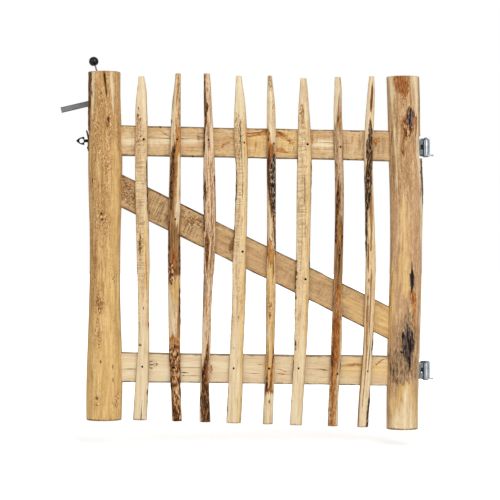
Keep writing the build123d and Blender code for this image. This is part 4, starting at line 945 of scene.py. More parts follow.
def turned_mesh(name, places, profile, segments=20):
    """Like turned parts in one mesh: a profile of (radius, rise) swung about each place's own axis,
    closed by its first and last points on the axis. A place is (centre, outward axis)."""
    profile = np.asarray(profile, float)
    angle = np.arange(segments) / segments * 2 * math.pi
    points, faces, base = [], [], 0
    u = np.arange(segments)
    after = np.roll(u, -1)
    rows = len(profile)
    band = np.arange(rows - 1)[:, None] * segments
    quads = np.stack((band + u, band + after, band + segments + after, band + segments + u), axis=-1)
    quads = quads.reshape(-1, 4)
    foot, head, last = rows * segments, rows * segments + 1, (rows - 1) * segments
    low = np.stack((np.full(segments, foot), after, u), axis=-1)
    high = np.stack((np.full(segments, head), last + u, last + after), axis=-1)
    for centre, axis in places:
        axis = np.asarray(axis, float) / np.linalg.norm(axis)
        side = np.cross(axis, (0.0, 0.0, 1.0) if abs(axis[2]) < 0.9 else (1.0, 0.0, 0.0))
        side /= np.linalg.norm(side)
        other = np.cross(axis, side)
        swing = np.cos(angle)[:, None] * side + np.sin(angle)[:, None] * other
        ring = np.asarray(centre) + profile[:, 0, None, None] * swing + profile[:, 1, None, None] * axis
        tips = np.asarray(centre) + profile[(0, -1), 1][:, None] * axis
        points.append(np.concatenate((ring.reshape(-1, 3), tips)))
        faces += (quads + base).tolist() + (low + base).tolist() + (high + base).tolist()
        base += len(points[-1])
    mesh = bpy.data.meshes.new(name)
    mesh.from_pydata(np.concatenate(points).tolist(), [], faces)
    mesh.shade_smooth()
    mesh.set_sharp_from_angle(angle=HEAD_SHARP)
    mesh.update()
    return mesh


# Finishes

class Value:
    """A shader value. Python operators on it add Math nodes."""

    def __init__(self, finish, socket):
        self.finish, self.socket = finish, socket

    def math(self, operation, a, b=None):
        return self.finish.node("ShaderNodeMath", {"operation": operation}, {0: a, 1: b})

    def __add__(self, other):
        return self.math("ADD", self, other)

    def __sub__(self, other):
        return self.math("SUBTRACT", self, other)

    def __rsub__(self, other):
        return self.math("SUBTRACT", other, self)

    def __mul__(self, other):
        return self.math("MULTIPLY", self, other)

    def __pow__(self, other):
        return self.math("POWER", self, other)

    __radd__, __rmul__ = __add__, __mul__

    def sine(self):
        return self.math("SINE", self)

    def size(self):
        return self.math("ABSOLUTE", self)

    def most(self, other):
        return self.math("MAXIMUM", self, other)

    def step(self, low, high):
        return self.finish.node("ShaderNodeMapRange", {"interpolation_type": "SMOOTHSTEP"},
                                {"Value": self, "From Min": low, "From Max": high})


class Finish:
    """The node tree of one material, or of the world."""

    def __init__(self, name, owner=None):
        self.material = owner or bpy.data.materials.new(name)
        self.material.use_nodes = True
        self.tree = self.material.node_tree
        self.shader = self.tree.nodes.get("Principled BSDF")

    def node(self, kind, settings=None, sockets=None, out=0):
        made = self.tree.nodes.new(kind)
        for key, value in (settings or {}).items():
            if key == "stops":
                ramp = made.color_ramp
                while len(ramp.elements) < len(value):
                    ramp.elements.new(0.5)
                for element, (position, colour) in zip(ramp.elements, value):
                    element.position, element.color = position, (*colour, 1.0)
            else:
                setattr(made, key, value)
        for key, value in (sockets or {}).items():
            if isinstance(value, Value):
                self.tree.links.new(value.socket, made.inputs[key])
            elif value is not None:
                made.inputs[key].default_value = value
        return None if out is None else Value(self, made.outputs[out])

    def field(self, name, out="Fac"):
        return self.node("ShaderNodeAttribute", {"attribute_name": name}, out=out)

    def stretch(self, vector, scale, shift=(0.0, 0.0, 0.0)):
        return self.vector("MULTIPLY", self.vector("ADD", vector, shift), scale)

    def position(self):
        return self.node("ShaderNodeTexCoord", out="Object")

    def vector(self, operation, a, b, out="Vector"):
        return self.node("ShaderNodeVectorMath", {"operation": operation}, {0: a, 1: b}, out)

    def noise(self, vector, detail=4.0, roughness=0.55, out="Fac"):
        sockets = {"Vector": vector, "Scale": 1.0, "Detail": detail, "Roughness": roughness}
        return self.node("ShaderNodeTexNoise", None, sockets, out)

    def ramp(self, value, stops):
        return self.node("ShaderNodeValToRGB", {"stops": stops}, {"Fac": value})

    def mix(self, factor, a, b):
        a, b = [(*c, 1.0) if isinstance(c, (tuple, list)) and len(c) == 3 else c for c in (a, b)]
        return self.node("ShaderNodeMix", {"data_type": "RGBA"}, {0: factor, 6: a, 7: b}, out=2)

    def set(self, **sockets):
        for key, value in sockets.items():
            target = self.shader.inputs[key.replace("_", " ")]
            if isinstance(value, Value):
                self.tree.links.new(value.socket, target)
            else:
                target.default_value = value

    def bump(self, height, strength, distance):
        sockets = {"Height": height, "Strength": strength, "Distance": distance}
        return self.node("ShaderNodeBump", None, sockets)


def bark_stops(colours, bark):
    """Four tones of a bark, from its cracks to its dry flakes."""
    tones = [tuple(getattr(colours, bark + part)) for part in ("_dark", "_mid", "_red", "_grey")]
    return tuple(zip((0.37, 0.46, 0.54, 0.63), tones))


# Noises of the wood: waves per metre across and along the grain, detail and roughness
NOISES = {
    "streak": (150.0, 9.0, 3.0, 0.6), "fibre": (420.0, 26.0, 3.0, 0.6), "stroke": (280.0, 80.0, 3.0, 0.65),
    "speck": (300.0, 170.0, 2.0, 0.6), "blotch": (36.0, 17.0, 4.0, 0.62), "hue": (15.0, 5.0, 3.0, 0.5),
    "pore": (1500.0, 80.0, 2.0, 0.5), "plate": (150.0, 80.0, 4.0, 0.7),
    "coarse_saw": (5.0, 62.0, 1.0, 0.4), "close_saw": (9.0, 150.0, 1.0, 0.4),
}

# How a mark lies on the wood: shares of the long and of the ragged tear at its edge, where it begins, where
# it is full, and its strength
LAYERS = {
    "gold": (0.0, 1.5, -0.5, 1.1, 0.75), "cream": (0.0, 1.5, -0.5, 1.1, 0.85),
    "hatch": (0.0, 1.2, -0.1, 0.5, 1.0), "stain": (0.0, 1.4, -0.1, 0.7, 0.7),
    "edge": (0.0, 1.2, 0.1, 0.5, 1.0), "brown": (1.0, 0.0, -0.05, 0.3, 0.9),
    "resin": (0.0, 1.0, 0.0, 0.3, 0.85), "rust": (0.5, 0.7, 0.0, 0.3, 0.9),
    "rind": (0.0, 1.2, 0.0, 0.3, 1.0), "bark": (0.5, 0.7, 0.02, 0.22, 1.0),
    "pits": (0.0, 1.2, -0.2, 0.6, 1.0), "knot": (0.0, 0.8, 0.02, 0.35, 0.92),
    "split": (0.0, 0.6, 0.1, 0.4, 0.94),
}
FACE_RING, END_RING = 2 * math.pi / 0.0062, 2 * math.pi / 0.0042   # radians per metre of growth rings


def wood(name, look, colours, seed):
    """Chestnut: three tones ramped by long streaks, fine fibre and blotches on a gently waving grain, a
    slow change of hue, short dark strokes, specks and pale flecks, saw lines across the grain, then the
    listed marks, each broken up at its edge by the same noises, and the sawn ends."""
    f = Finish(name)

    def paint_of(part):
        return tuple(getattr(colours, part))

    light, mid, dark, warm = (paint_of(look["tone"] + part) for part in ("_light", "_mid", "_dark", "_warm"))
    shift = (seed * 1.37, seed * 0.71, seed * 2.13)
    grain = f.field("grain", "Vector")
    swirl = f.noise(f.stretch(grain, (16.0, 16.0, 9.0), shift), 2.0, 0.5, out="Color")
    swirl = f.vector("SUBTRACT", swirl, (0.5, 0.5, 0.5))
    wavy = f.vector("ADD", grain, f.vector("MULTIPLY", swirl, (look["wave"], look["wave"], 0.0)))

    def noise_of(kind, run):
        across, along, detail, roughness = NOISES[kind]
        return f.noise(f.stretch(run, (across, across, along), shift), detail, roughness)

    streak, fibre, stroke, speck, pore = (
        noise_of(kind, wavy) for kind in ("streak", "fibre", "stroke", "speck", "pore"))
    blotch, hue = noise_of("blotch", grain), noise_of("hue", grain)
    ring = (f.field("ring") * FACE_RING + hue * 14.0 + streak * 3.0).sine() * 0.5 + 0.5
    value = 0.5 + (streak - 0.5) * look["streaks"] + (fibre - 0.5) * look["fibre"]
    value = value + (blotch - 0.5) * look["blotch"]
    value = value + (0.5 - ring ** 4.0) * look["figure"] + (speck - 0.5) * look["grit"]
    base = f.ramp(value, ((0.15, dark), (0.5, mid), (0.8, light)))
    base = f.mix(hue.step(0.38, 0.68) * look["hue"], base, warm)
    base = f.mix((1.0 - stroke.step(0.3, 0.47)) * look["flecks"], base, light)
    base = f.mix(stroke.step(0.53, 0.68) * look["strokes"], base, dark)
    base = f.mix(speck.step(0.56, 0.7) * blotch.step(0.44, 0.62) * look["specks"], base, dark)
    base = f.mix(pore.step(0.58, 0.75) * 0.3, base, dark)
    long_torn = (streak - 0.5) * 1.5 + (fibre - 0.5) * 1.4 + (blotch - 0.5) * 0.8
    ragged = (fibre - 0.5) * 1.2 + (blotch - 0.5) * 1.1 + (stroke - 0.5) * 1.2

    def place_of(kind):
        long_share, ragged_share, begins, full, strength = LAYERS[kind]
        tear = long_torn * long_share + ragged * ragged_share
        return (f.field(kind) + tear).step(begins, full) * strength

    def two_tones(blend, first, second):
        return f.mix(blend, paint_of(first), paint_of(second))

    gold = place_of("gold") * (1.0 - stroke.step(0.53, 0.68) * 0.5)
    base = f.mix(gold, base, two_tones(streak.step(0.3, 0.7), "gold_dark", "gold_light"))
    cream = place_of("cream")
    base = f.mix(cream, base, two_tones(streak.step(0.3, 0.7), "cream_dark", "cream_light"))
    height = fibre * 0.6 + pore * 0.2 + stroke * 0.7 + streak * 0.4
    if look["saw"]:
        where = f.noise(f.stretch(grain, (42.0, 12.0, 15.0), shift), 3.0, 0.55).step(0.42, 0.64) * 0.45
        where = where.most(place_of("hatch"))
        wide = 1.0 - (noise_of("coarse_saw", grain) - 0.5).size().step(0.0, 0.03)
        thin = 1.0 - (noise_of("close_saw", grain) - 0.5).size().step(0.0, 0.05)
        cut = wide.most(thin * 0.8) * where * (fibre * 1.6 + 0.2) * (1.0 - gold) * (1.0 - cream * 0.9)
        base = f.mix(cut * look["saw"], base, paint_of(look["line"]))
        height = height - cut * 0.8
    base = f.mix(place_of("stain"), base, two_tones(stroke.step(0.38, 0.62), "stain_light", "stain_dark"))
    # Painted shade and dirt along edges and at feet, from the edge field
    base = f.mix(place_of("edge") * look["edge"], base, paint_of("edge_dirt"))
    browns = ((0.36, "brown_dark"), (0.5, "brown_mid"), (0.62, "brown_light"))
    brown = f.ramp(fibre * 0.6 + streak * 0.4, tuple((at, paint_of(part)) for at, part in browns))
    base = f.mix(place_of("brown"), base, brown)
    for kind in ("resin", "rust"):
        base = f.mix(place_of(kind), base, two_tones(stroke.step(0.4, 0.62), kind + "_light", kind + "_dark"))
    crust = f.noise(f.stretch(wavy, (240.0, 240.0, look["flake"]), shift), 4.0, 0.7)
    plate = noise_of("plate", wavy) * 0.75 + crust * 0.7 - 0.22
    rind, bark = place_of("rind"), place_of("bark")
    base = f.mix(rind, base, f.ramp(plate, bark_stops(colours, "rind")))
    base = f.mix(bark, base, f.ramp(crust, bark_stops(colours, look["bark"])))
    pits = place_of("pits")
    base = f.mix(pits * 0.3, base, paint_of("resin_light"))
    base = f.mix(pits * (1.0 - speck.step(0.36, 0.42)) * 0.7, base, paint_of("cream_light"))
    base = f.mix(pits * speck.step(0.54, 0.6) * 0.8, base, paint_of("pit"))
    knot = place_of("knot")
    whorl = (f.field("knot") * 14.0 + blotch * 9.0).sine() * 0.5 + 0.5
    base = f.mix(knot, base, two_tones(whorl * stroke.step(0.35, 0.6), "knot_dark", "knot_rim"))
    # Painted shade: splits are coloured near-black for the shade inside the cracks
    split = place_of("split")
    base = f.mix(split, base, paint_of("split"))
    end_rings = (f.field("ring") * END_RING + blotch * 5.0).sine() * 0.5 + 0.5
    base = f.mix(f.field("endgrain") * 0.75, base, f.mix(end_rings * (0.5 + fibre * 0.6), mid, dark))
    height = height + bark.most(rind) * crust * 2.6 - split * 1.6 + knot * blotch * 1.2 - pits * speck * 0.8
    f.set(Base_Color=base, Roughness=0.68 + (fibre - 0.5) * 0.25 + bark * 0.2,
          Normal=f.bump(height, 0.6, 0.0014), Specular_IOR_Level=0.12)
    return f.material


def plated(name, tones, dull, metal, leaf_side_shade=0.0, rim=None):
    """Plated steel: faint crystal spangle, drawn scratches and darker handling marks, with painted shade on
    the leaf's side of the hinge axis. Tones are its middle, bright and dull grey. A rim is a point and a
    direction: painted shade darkens the strip where it lies 5 mm or more from the point along that direction."""
    f = Finish(name)
    middle, bright, dim = (tuple(tone) for tone in tones)
    where = f.position()
    cell = f.node("ShaderNodeTexVoronoi", None, {"Vector": where, "Scale": 260.0}, out="Color")
    tint = f.node("ShaderNodeSeparateColor", None, {"Color": cell}, out="Red")
    cloud = f.noise(f.stretch(where, (90.0, 90.0, 90.0)), 4.0, 0.6)
    scratch = f.noise(f.stretch(where, (2200.0, 2200.0, 120.0)), 2.0, 0.5)
    shade = f.mix(cloud.step(0.35, 0.75) * 0.6, middle, dim)
    shade = f.mix(tint * 0.2, shade, bright)
    # Painted shade: darker where x lies on the leaf's side of the hinge axis
    if leaf_side_shade:
        x = f.node("ShaderNodeSeparateXYZ", None, {"Vector": where}, out="X")
        shade = f.mix((1.0 - x.step(-0.009, 0.001)) * leaf_side_shade, shade, tuple(0.5 * part for part in dim))
    # Painted shade: the strip darkens along its edges, away from the given line
    if rim:
        along = f.vector("DOT_PRODUCT", f.vector("SUBTRACT", where, rim[0]), rim[1], out="Value")
        shade = f.mix(along.size().step(0.005, 0.0075) * 0.8, shade, tuple(0.3 * part for part in dim))
    dullness = dull + (cloud - 0.5) * 0.25 + (scratch - 0.5) * 0.12
    f.set(Base_Color=shade, Metallic=metal, Roughness=dullness,
          Normal=f.bump(scratch * 0.4 + cloud, 0.12, 0.0004))
    return f.material


RUBBED = (0.025, 0.024, 0.023)       # black paint where it is rubbed
RUST_BLOOM = (0.05, 0.022, 0.01)


def painted_black(name, tone, dull, gloss):
    """Black paint or moulded ball: a slight orange peel and rubbed patches."""
    f = Finish(name)
    where = f.position()
    peel = f.noise(f.stretch(where, (900.0, 900.0, 900.0)), 2.0, 0.5)
    rub = f.noise(f.stretch(where, (120.0, 120.0, 120.0)), 4.0, 0.6)
    base = f.mix(rub.step(0.58, 0.75) * 0.3, tuple(tone), RUBBED)
    f.set(Base_Color=base, Roughness=dull + (rub - 0.5) * 0.1, Normal=f.bump(peel, 0.08, 0.0003),
          Specular_IOR_Level=gloss)
    return f.material


def iron(name, tone):
    """Dark nail iron with a little rust bloom."""
    f = Finish(name)
    where = f.position()
    bloom = f.noise(f.stretch(where, (700.0, 700.0, 700.0)), 3.0, 0.6)
    base = f.mix(bloom.step(0.55, 0.8) * 0.5, tuple(tone), RUST_BLOOM)
    f.set(Base_Color=base, Metallic=0.0, Roughness=0.6 + (bloom - 0.5) * 0.3,
          Normal=f.bump(bloom, 0.2, 0.0003), Specular_IOR_Level=0.06)
    return f.material


# What a user may change

def colour(name, default):
    """A colour to choose."""
    return FloatVectorProperty(name=name, description=name + ", as linear red, green and blue",
                               subtype="COLOR", size=3, min=0.0, max=1.0, default=default)


def metres(name, description, default):
    """A length to choose."""
    return FloatProperty(name=name, description=description, default=default, unit="LENGTH")


def watts(name, description, default):
    """A lamp power to choose."""
    return FloatProperty(name=name, description=description, default=default, unit="POWER")


class GateColours(PropertyGroup):
    """Tones of the woods, barks and metals."""

    honey_light: colour("Honey pole, light", (0.82, 0.55, 0.26))
    honey_mid: colour("Honey pole, middle", (0.535, 0.3, 0.113))
    honey_dark: colour("Honey pole, dark", (0.3, 0.145, 0.045))
    honey_warm: colour("Honey pole, warm", (0.53, 0.29, 0.1))
    tan_light: colour("Tan pole, light", (0.82, 0.6, 0.36))
    tan_mid: colour("Tan pole, middle", (0.525, 0.305, 0.134))
    tan_dark: colour("Tan pole, dark", (0.28, 0.14, 0.055))
    tan_warm: colour("Tan pole, warm", (0.62, 0.37, 0.21))
    rail_light: colour("Rail, light", (0.82, 0.62, 0.36))
    rail_mid: colour("Rail, middle", (0.68, 0.45, 0.215))
    rail_dark: colour("Rail, dark", (0.38, 0.215, 0.085))
    rail_warm: colour("Rail, warm", (0.67, 0.41, 0.225))
    foot_light: colour("Bottom rail, light", (0.84, 0.7, 0.46))
    foot_mid: colour("Bottom rail, middle", (0.8, 0.61, 0.36))
    foot_dark: colour("Bottom rail, dark", (0.58, 0.4, 0.21))
    foot_warm: colour("Bottom rail, warm", (0.77, 0.55, 0.345))
    brace_light: colour("Brace, light", (0.71, 0.49, 0.265))
    brace_mid: colour("Brace, middle", (0.62, 0.385, 0.175))
    brace_dark: colour("Brace, dark", (0.3, 0.17, 0.07))
    brace_warm: colour("Brace, warm", (0.58, 0.35, 0.19))
    cleft_light: colour("Light pale, light", (0.93, 0.775, 0.495))
    cleft_mid: colour("Light pale, middle", (0.87, 0.635, 0.335))
    cleft_dark: colour("Light pale, dark", (0.38, 0.21, 0.085))
    cleft_warm: colour("Light pale, warm", (0.79, 0.55, 0.33))
    heart_light: colour("Brown pale, light", (0.87, 0.66, 0.43))
    heart_mid: colour("Brown pale, middle", (0.77, 0.505, 0.29))
    heart_dark: colour("Brown pale, dark", (0.27, 0.125, 0.05))
    heart_warm: colour("Brown pale, warm", (0.7, 0.45, 0.28))
    amber_light: colour("Amber pale, light", (0.82, 0.59, 0.33))
    amber_mid: colour("Amber pale, middle", (0.61, 0.36, 0.16))
    amber_dark: colour("Amber pale, dark", (0.25, 0.11, 0.035))
    amber_warm: colour("Amber pale, warm", (0.64, 0.38, 0.16))
    dun_light: colour("Dun pale, light", (0.74, 0.53, 0.32))
    dun_mid: colour("Dun pale, middle", (0.57, 0.355, 0.185))
    dun_dark: colour("Dun pale, dark", (0.17, 0.075, 0.03))
    dun_warm: colour("Dun pale, warm", (0.56, 0.33, 0.17))
    brown_light: colour("Heartwood, light", (0.5, 0.27, 0.1))
    brown_mid: colour("Heartwood, middle", (0.27, 0.12, 0.036))
    brown_dark: colour("Heartwood, dark", (0.06, 0.024, 0.008))
    resin_light: colour("Amber streak, light", (0.64, 0.29, 0.075))
    resin_dark: colour("Amber streak, dark", (0.3, 0.1, 0.02))
    pit: colour("Pits", (0.12, 0.055, 0.018))
    gold_light: colour("Golden patch, light", (0.9, 0.64, 0.28))
    gold_dark: colour("Golden patch, dark", (0.74, 0.46, 0.16))
    cream_light: colour("Bleached patch, light", (0.94, 0.82, 0.56))
    cream_dark: colour("Bleached patch, dark", (0.81, 0.62, 0.385))
    rust_light: colour("Inner bark, light", (0.44, 0.155, 0.036))
    rust_dark: colour("Inner bark, dark", (0.17, 0.042, 0.009))
    stain_light: colour("Weather stain, light", (0.42, 0.27, 0.15))
    stain_dark: colour("Weather stain, dark", (0.07, 0.04, 0.025))
    bark_dark: colour("Grey bark, dark", (0.006, 0.004, 0.003))
    bark_mid: colour("Grey bark, middle", (0.028, 0.016, 0.009))
    bark_red: colour("Grey bark, brown", (0.1, 0.05, 0.024))
    bark_grey: colour("Grey bark, grey", (0.62, 0.55, 0.46))
    ash_dark: colour("Ashy bark, dark", (0.01, 0.006, 0.004))
    ash_mid: colour("Ashy bark, middle", (0.045, 0.02, 0.008))
    ash_red: colour("Ashy bark, brown", (0.145, 0.068, 0.026))
    ash_grey: colour("Ashy bark, grey", (0.5, 0.37, 0.23))
    husk_dark: colour("Brown bark, dark", (0.014, 0.006, 0.003))
    husk_mid: colour("Brown bark, middle", (0.06, 0.024, 0.01))
    husk_red: colour("Brown bark, red", (0.2, 0.076, 0.022))
    husk_grey: colour("Brown bark, grey", (0.4, 0.21, 0.085))
    scar_dark: colour("Scar, dark", (0.009, 0.006, 0.006))
    scar_mid: colour("Scar, middle", (0.038, 0.024, 0.02))
    scar_red: colour("Scar, brown", (0.12, 0.075, 0.055))
    scar_grey: colour("Scar, grey", (0.36, 0.28, 0.23))
    rind_dark: colour("Flaking bark, dark", (0.02, 0.009, 0.004))
    rind_mid: colour("Flaking bark, middle", (0.125, 0.047, 0.014))
    rind_red: colour("Flaking bark, orange", (0.52, 0.22, 0.065))
    rind_grey: colour("Flaking bark, pale", (0.86, 0.61, 0.35))
    knot_dark: colour("Knot, dark", (0.03, 0.013, 0.007))
    knot_rim: colour("Knot, rim", (0.26, 0.11, 0.035))
    saw_line: colour("Saw line", (0.34, 0.19, 0.09))
    saw_dark: colour("Saw line, dark", (0.15, 0.08, 0.038))
    # Dark brown of the painted shade along edges and at feet, with some dirt
    edge_dirt: colour("Edge dirt", (0.06, 0.03, 0.014))
    # Near-black: painted shade inside the splits
    split: colour("Split", (0.02, 0.01, 0.006))
    zinc: colour("Zinc plate", (0.5, 0.55, 0.585))
    zinc_light: colour("Zinc plate, bright", (0.74, 0.77, 0.79))
    zinc_dark: colour("Zinc plate, dull", (0.2, 0.24, 0.27))
    bar_grey: colour("Latch bar", (0.22, 0.22, 0.225))
    bar_light: colour("Latch bar, bright", (0.36, 0.36, 0.37))
    bar_dark: colour("Latch bar, dull", (0.14, 0.14, 0.145))
    black: colour("Black paint", (0.003, 0.003, 0.0035))
    nail: colour("Nail iron", (0.006, 0.005, 0.005))


class GateSizes(PropertyGroup):
    """Sizes of the dressing."""

    arris: metres("Arris", "Round of the poles' sawn ends", 0.003)
    relief: FloatProperty(name="Relief", description="Strength of fibre, bark and saw marks",
                          default=1.0, min=0.0, subtype="FACTOR")
    saw_pitch: metres("Saw pitch", "Distance between saw marks", 0.0046)
    nail_radius: metres("Nail head", "Radius of a nail head", 0.0034)
    screw_radius: metres("Screw head", "Radius of a screw head", 0.004)
    seed: IntProperty(name="Seed", description="Number that fixes the grain noise", default=7)


class GateStage(PropertyGroup):
    """Camera, floor and light."""

    distance: metres("Camera distance", "From the gate's middle plane", 5.6)
    frame_width: metres("Framed width", "Width seen at the gate", 1.4325)
    middle_x: metres("Framed middle, along", "Across position in the middle of the picture", -0.5052)
    middle_z: metres("Framed middle, height", "Height in the middle of the picture", 0.3452)
    floor_height: metres("Floor", "Height of the floor under the gate", -0.215)
    key_power: watts("Key light", "Power of the large soft lamp", 115.0)
    fill_power: watts("Fill light", "Power of the left lamp and of the one behind", 32.0)
    card_power: watts("Shine card", "Power of the card that only glosses reflect", 26.0)
    sky: FloatProperty(name="Surround", description="Strength of the even surround light", default=0.55)


# How strong each trait of the wood is, for each way it was worked
PEELED = {"wave": 0.014, "streaks": 1.2, "fibre": 0.6, "blotch": 0.6, "figure": 0.0, "hue": 0.45,
          "flecks": 0.45, "strokes": 0.45, "specks": 0.5, "saw": 0.0, "edge": 0.7, "flake": 34.0}
SAWN = {"wave": 0.01, "streaks": 0.9, "fibre": 0.6, "blotch": 0.7, "figure": 0.14, "hue": 0.4, "flecks": 0.3,
        "strokes": 0.45, "specks": 0.45, "grit": 0.7, "edge": 0.7, "bark": "husk", "flake": 55.0}
CLEFT_LIGHT = {"wave": 0.006, "streaks": 1.3, "fibre": 0.7, "blotch": 0.8, "figure": 0.1, "hue": 0.4,
               "flecks": 0.5, "strokes": 0.4, "specks": 0.4, "grit": 0.6, "edge": 0.5,
               "line": "saw_line", "flake": 85.0}
CLEFT_BROWN = {"wave": 0.009, "streaks": 2.4, "fibre": 1.5, "blotch": 0.9, "figure": 0.12, "hue": 0.35,
               "flecks": 0.75, "strokes": 0.7, "specks": 0.6, "grit": 1.2, "edge": 0.45, "flake": 85.0}

# Each pale's tone, material slot, saw lines and bark
PALE_LOOKS = {
    1: ("cleft", "pale_light", 0.7, "husk"),
    2: ("amber", "pale_barky", 0.0, "husk"),
    3: ("heart", "pale_brown", 0.0, "husk"),
    4: ("cleft", "pale_light", 0.7, "husk"),
    5: ("amber", "pale_brown", 0.0, "bark"),
    6: ("cleft", "pale_light", 0.5, "husk"),
    7: ("dun", "pale_brown", 0.0, "husk"),
    8: ("cleft", "pale_barky", 0.1, "ash"),
}

# Each stile's tone, material slot, grit and bark
STILE_LOOKS = {
    "latch_stile": ("honey", "honey_pole", 1.4, "husk"),
    "hinge_stile": ("tan", "tan_pole", 0.7, "scar"),
}

# Each board's material slot and what sets its look apart
BOARD_LOOKS = {
    "top_rail": ("sawn_rail", {"tone": "rail", "saw": 0.7, "line": "saw_line"}),
    "bottom_rail": ("sawn_rail", {"tone": "foot", "saw": 0.25, "line": "saw_line", "streaks": 0.5,
                                  "fibre": 0.4, "grit": 0.4}),
    "diagonal_brace": ("sawn_brace", {"tone": "brace", "saw": 0.9, "line": "saw_dark"}),
}


def refinish(node, material):
    """Gives a CAD node another material."""
    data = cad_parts[node].data
    data.materials.clear()
    data.materials.append(material)


def screw_profile(r):
    """A low pan head with a shallow round socket."""
    return ((0.5 * r, -1.0 * MM), (0.98 * r, 0.0), (r, 0.35 * r), (0.85 * r, 0.55 * r),
            (0.5 * r, 0.68 * r), (0.32 * r, 0.68 * r), (0.26 * r, 0.4 * r), (0.1 * r, 0.36 * r))


def nail_profile(r):
    """A clout head, slightly domed and rounded at its rim."""
    return ((0.4 * r, -2.0 * MM), (0.5 * r, -0.6 * MM), (0.98 * r, -0.3 * MM), (r, 0.1 * MM),
            (0.9 * r, 0.45 * MM), (0.6 * r, 0.65 * MM), (0.25 * r, 0.72 * MM))


def fasten(name, places, profile, material):
    """Sets one turned head at each place on the leaf, as one piece."""
    place(name, turned_mesh(name, places, profile), material, "gate_leaf")


def dress(node, ending, surface, look, colours, seed):
    """Lays a wooden surface over its CAD node."""
    rings, fields = surface
    finish = wood(node + "_chestnut", look, colours, seed)
    place(node + ending, ring_mesh(node + ending, rings, fields), finish, "gate_leaf", node)


# Operators

class GATE_OT_stiles(Operator):
    """Two peeled round poles"""

    bl_idname = "gate.stiles"
    bl_label = "Stiles"

    def execute(self, context):
        sizes, colours = context.scene.gate_sizes, context.scene.gate_colours
        for offset, (node, (tone, slot, grit, bark)) in enumerate(STILE_LOOKS.items()):
            surface = pole_surface(node, sizes, sizes.seed + POLE_SEED_STEP * offset)
            look = dict(PEELED, tone=tone, grit=grit, bark=bark)
            dress(node, "_pole", surface, look, colours, sizes.seed + offset)
        return {"FINISHED"}


class GATE_OT_boards(Operator):
    """Two rails and the diagonal brace"""

    bl_idname = "gate.boards"
    bl_label = "Boards"

    def execute(self, context):
        sizes, colours = context.scene.gate_sizes, context.scene.gate_colours
        for offset, (node, (slot, own)) in enumerate(BOARD_LOOKS.items()):
            surface = board_surface(node, sizes, sizes.seed + BOARD_SEED + BOARD_SEED_STEP * offset)
            seed = sizes.seed + BOARD_COLOUR_SEED + offset
            dress(node, "_board", surface, {**SAWN, **own}, colours, seed)
        return {"FINISHED"}


class GATE_OT_pales(Operator):
    """Eight cleft pales"""

    bl_idname = "gate.pales"
    bl_label = "Pales"

    def execute(self, context):
        sizes, colours = context.scene.gate_sizes, context.scene.gate_colours
        for number, (tone, slot, saw, bark) in PALE_LOOKS.items():
            node = "pale_" + str(number)
            surface = pale_surface(number, sizes)
            look = dict(CLEFT_LIGHT if tone == "cleft" else CLEFT_BROWN, tone=tone, saw=saw, bark=bark)
            dress(node, "_cleft", surface, look, colours, sizes.seed + PALE_COLOUR_SEED + number)
        return {"FINISHED"}


class GATE_OT_nails(Operator):
    """Nail heads that hold the pales"""

    bl_idname = "gate.nails"
    bl_label = "Nails"

    def execute(self, context):
        sizes, colours = context.scene.gate_sizes, context.scene.gate_colours
        pales = {number: pale_surface(number, sizes)[0] for number in PALE_LOOKS}
        places = []
        for number, x, z in NAILS:
            rings = pales[number]
            row = rings[np.abs(rings[:, 0, 2] - z).argmin()]
            front = row[row[:, 1] < BOARD_FRONT - NAIL_FRONT]
            order = front[:, 0].argsort()
            y = np.interp(x, front[order, 0], front[order, 1])
            places.append(((x, y, z), (0.0, -1.0, 0.0)))
        profile = nail_profile(sizes.nail_radius)
        fasten("nail_heads", places, profile, iron("nail_iron", colours.nail))
        return {"FINISHED"}


class GATE_OT_hinges(Operator):
    """Zinc finish of the hinge eyes, brackets and pins, and the eye plates' screws; eyes, brackets and screws
    carry painted shade on the leaf's side of the hinge axis
    """

    bl_idname = "gate.hinges"
    bl_label = "Hinges"

    def execute(self, context):
        colours = context.scene.gate_colours
        tones = (colours.zinc, colours.zinc_light, colours.zinc_dark)
        # Eyes, brackets and eye plate screws get painted shade on the leaf's side of the hinge axis
        zinc = plated("hinge_zinc", tones, dull=0.2, metal=1.0, leaf_side_shade=0.6)
        bright = plated("bracket_zinc", tones, dull=0.3, metal=0.6, leaf_side_shade=0.9)
        worn = plated("pin_steel", (colours.zinc_dark, colours.zinc, colours.zinc_dark), dull=0.35, metal=1.0)
        for level in ("upper", "lower"):
            for part, finish in (("_hinge_eye", zinc), ("_hinge_bracket", bright), ("_hinge_pin", worn)):
                refinish(level + part, finish)
        places = []
        for z in HINGE_LEVELS:
            for y in (-EYE_SCREW_Y, EYE_SCREW_Y):
                for rise in (-EYE_SCREW_Z, EYE_SCREW_Z):
                    places.append(((EYE_PLATE_X, LEAF_Y + y, z + rise), (1.0, 0.0, 0.0)))
        fasten("eye_plate_screws", places, screw_profile(EYE_SCREW_RADIUS), zinc)
        return {"FINISHED"}


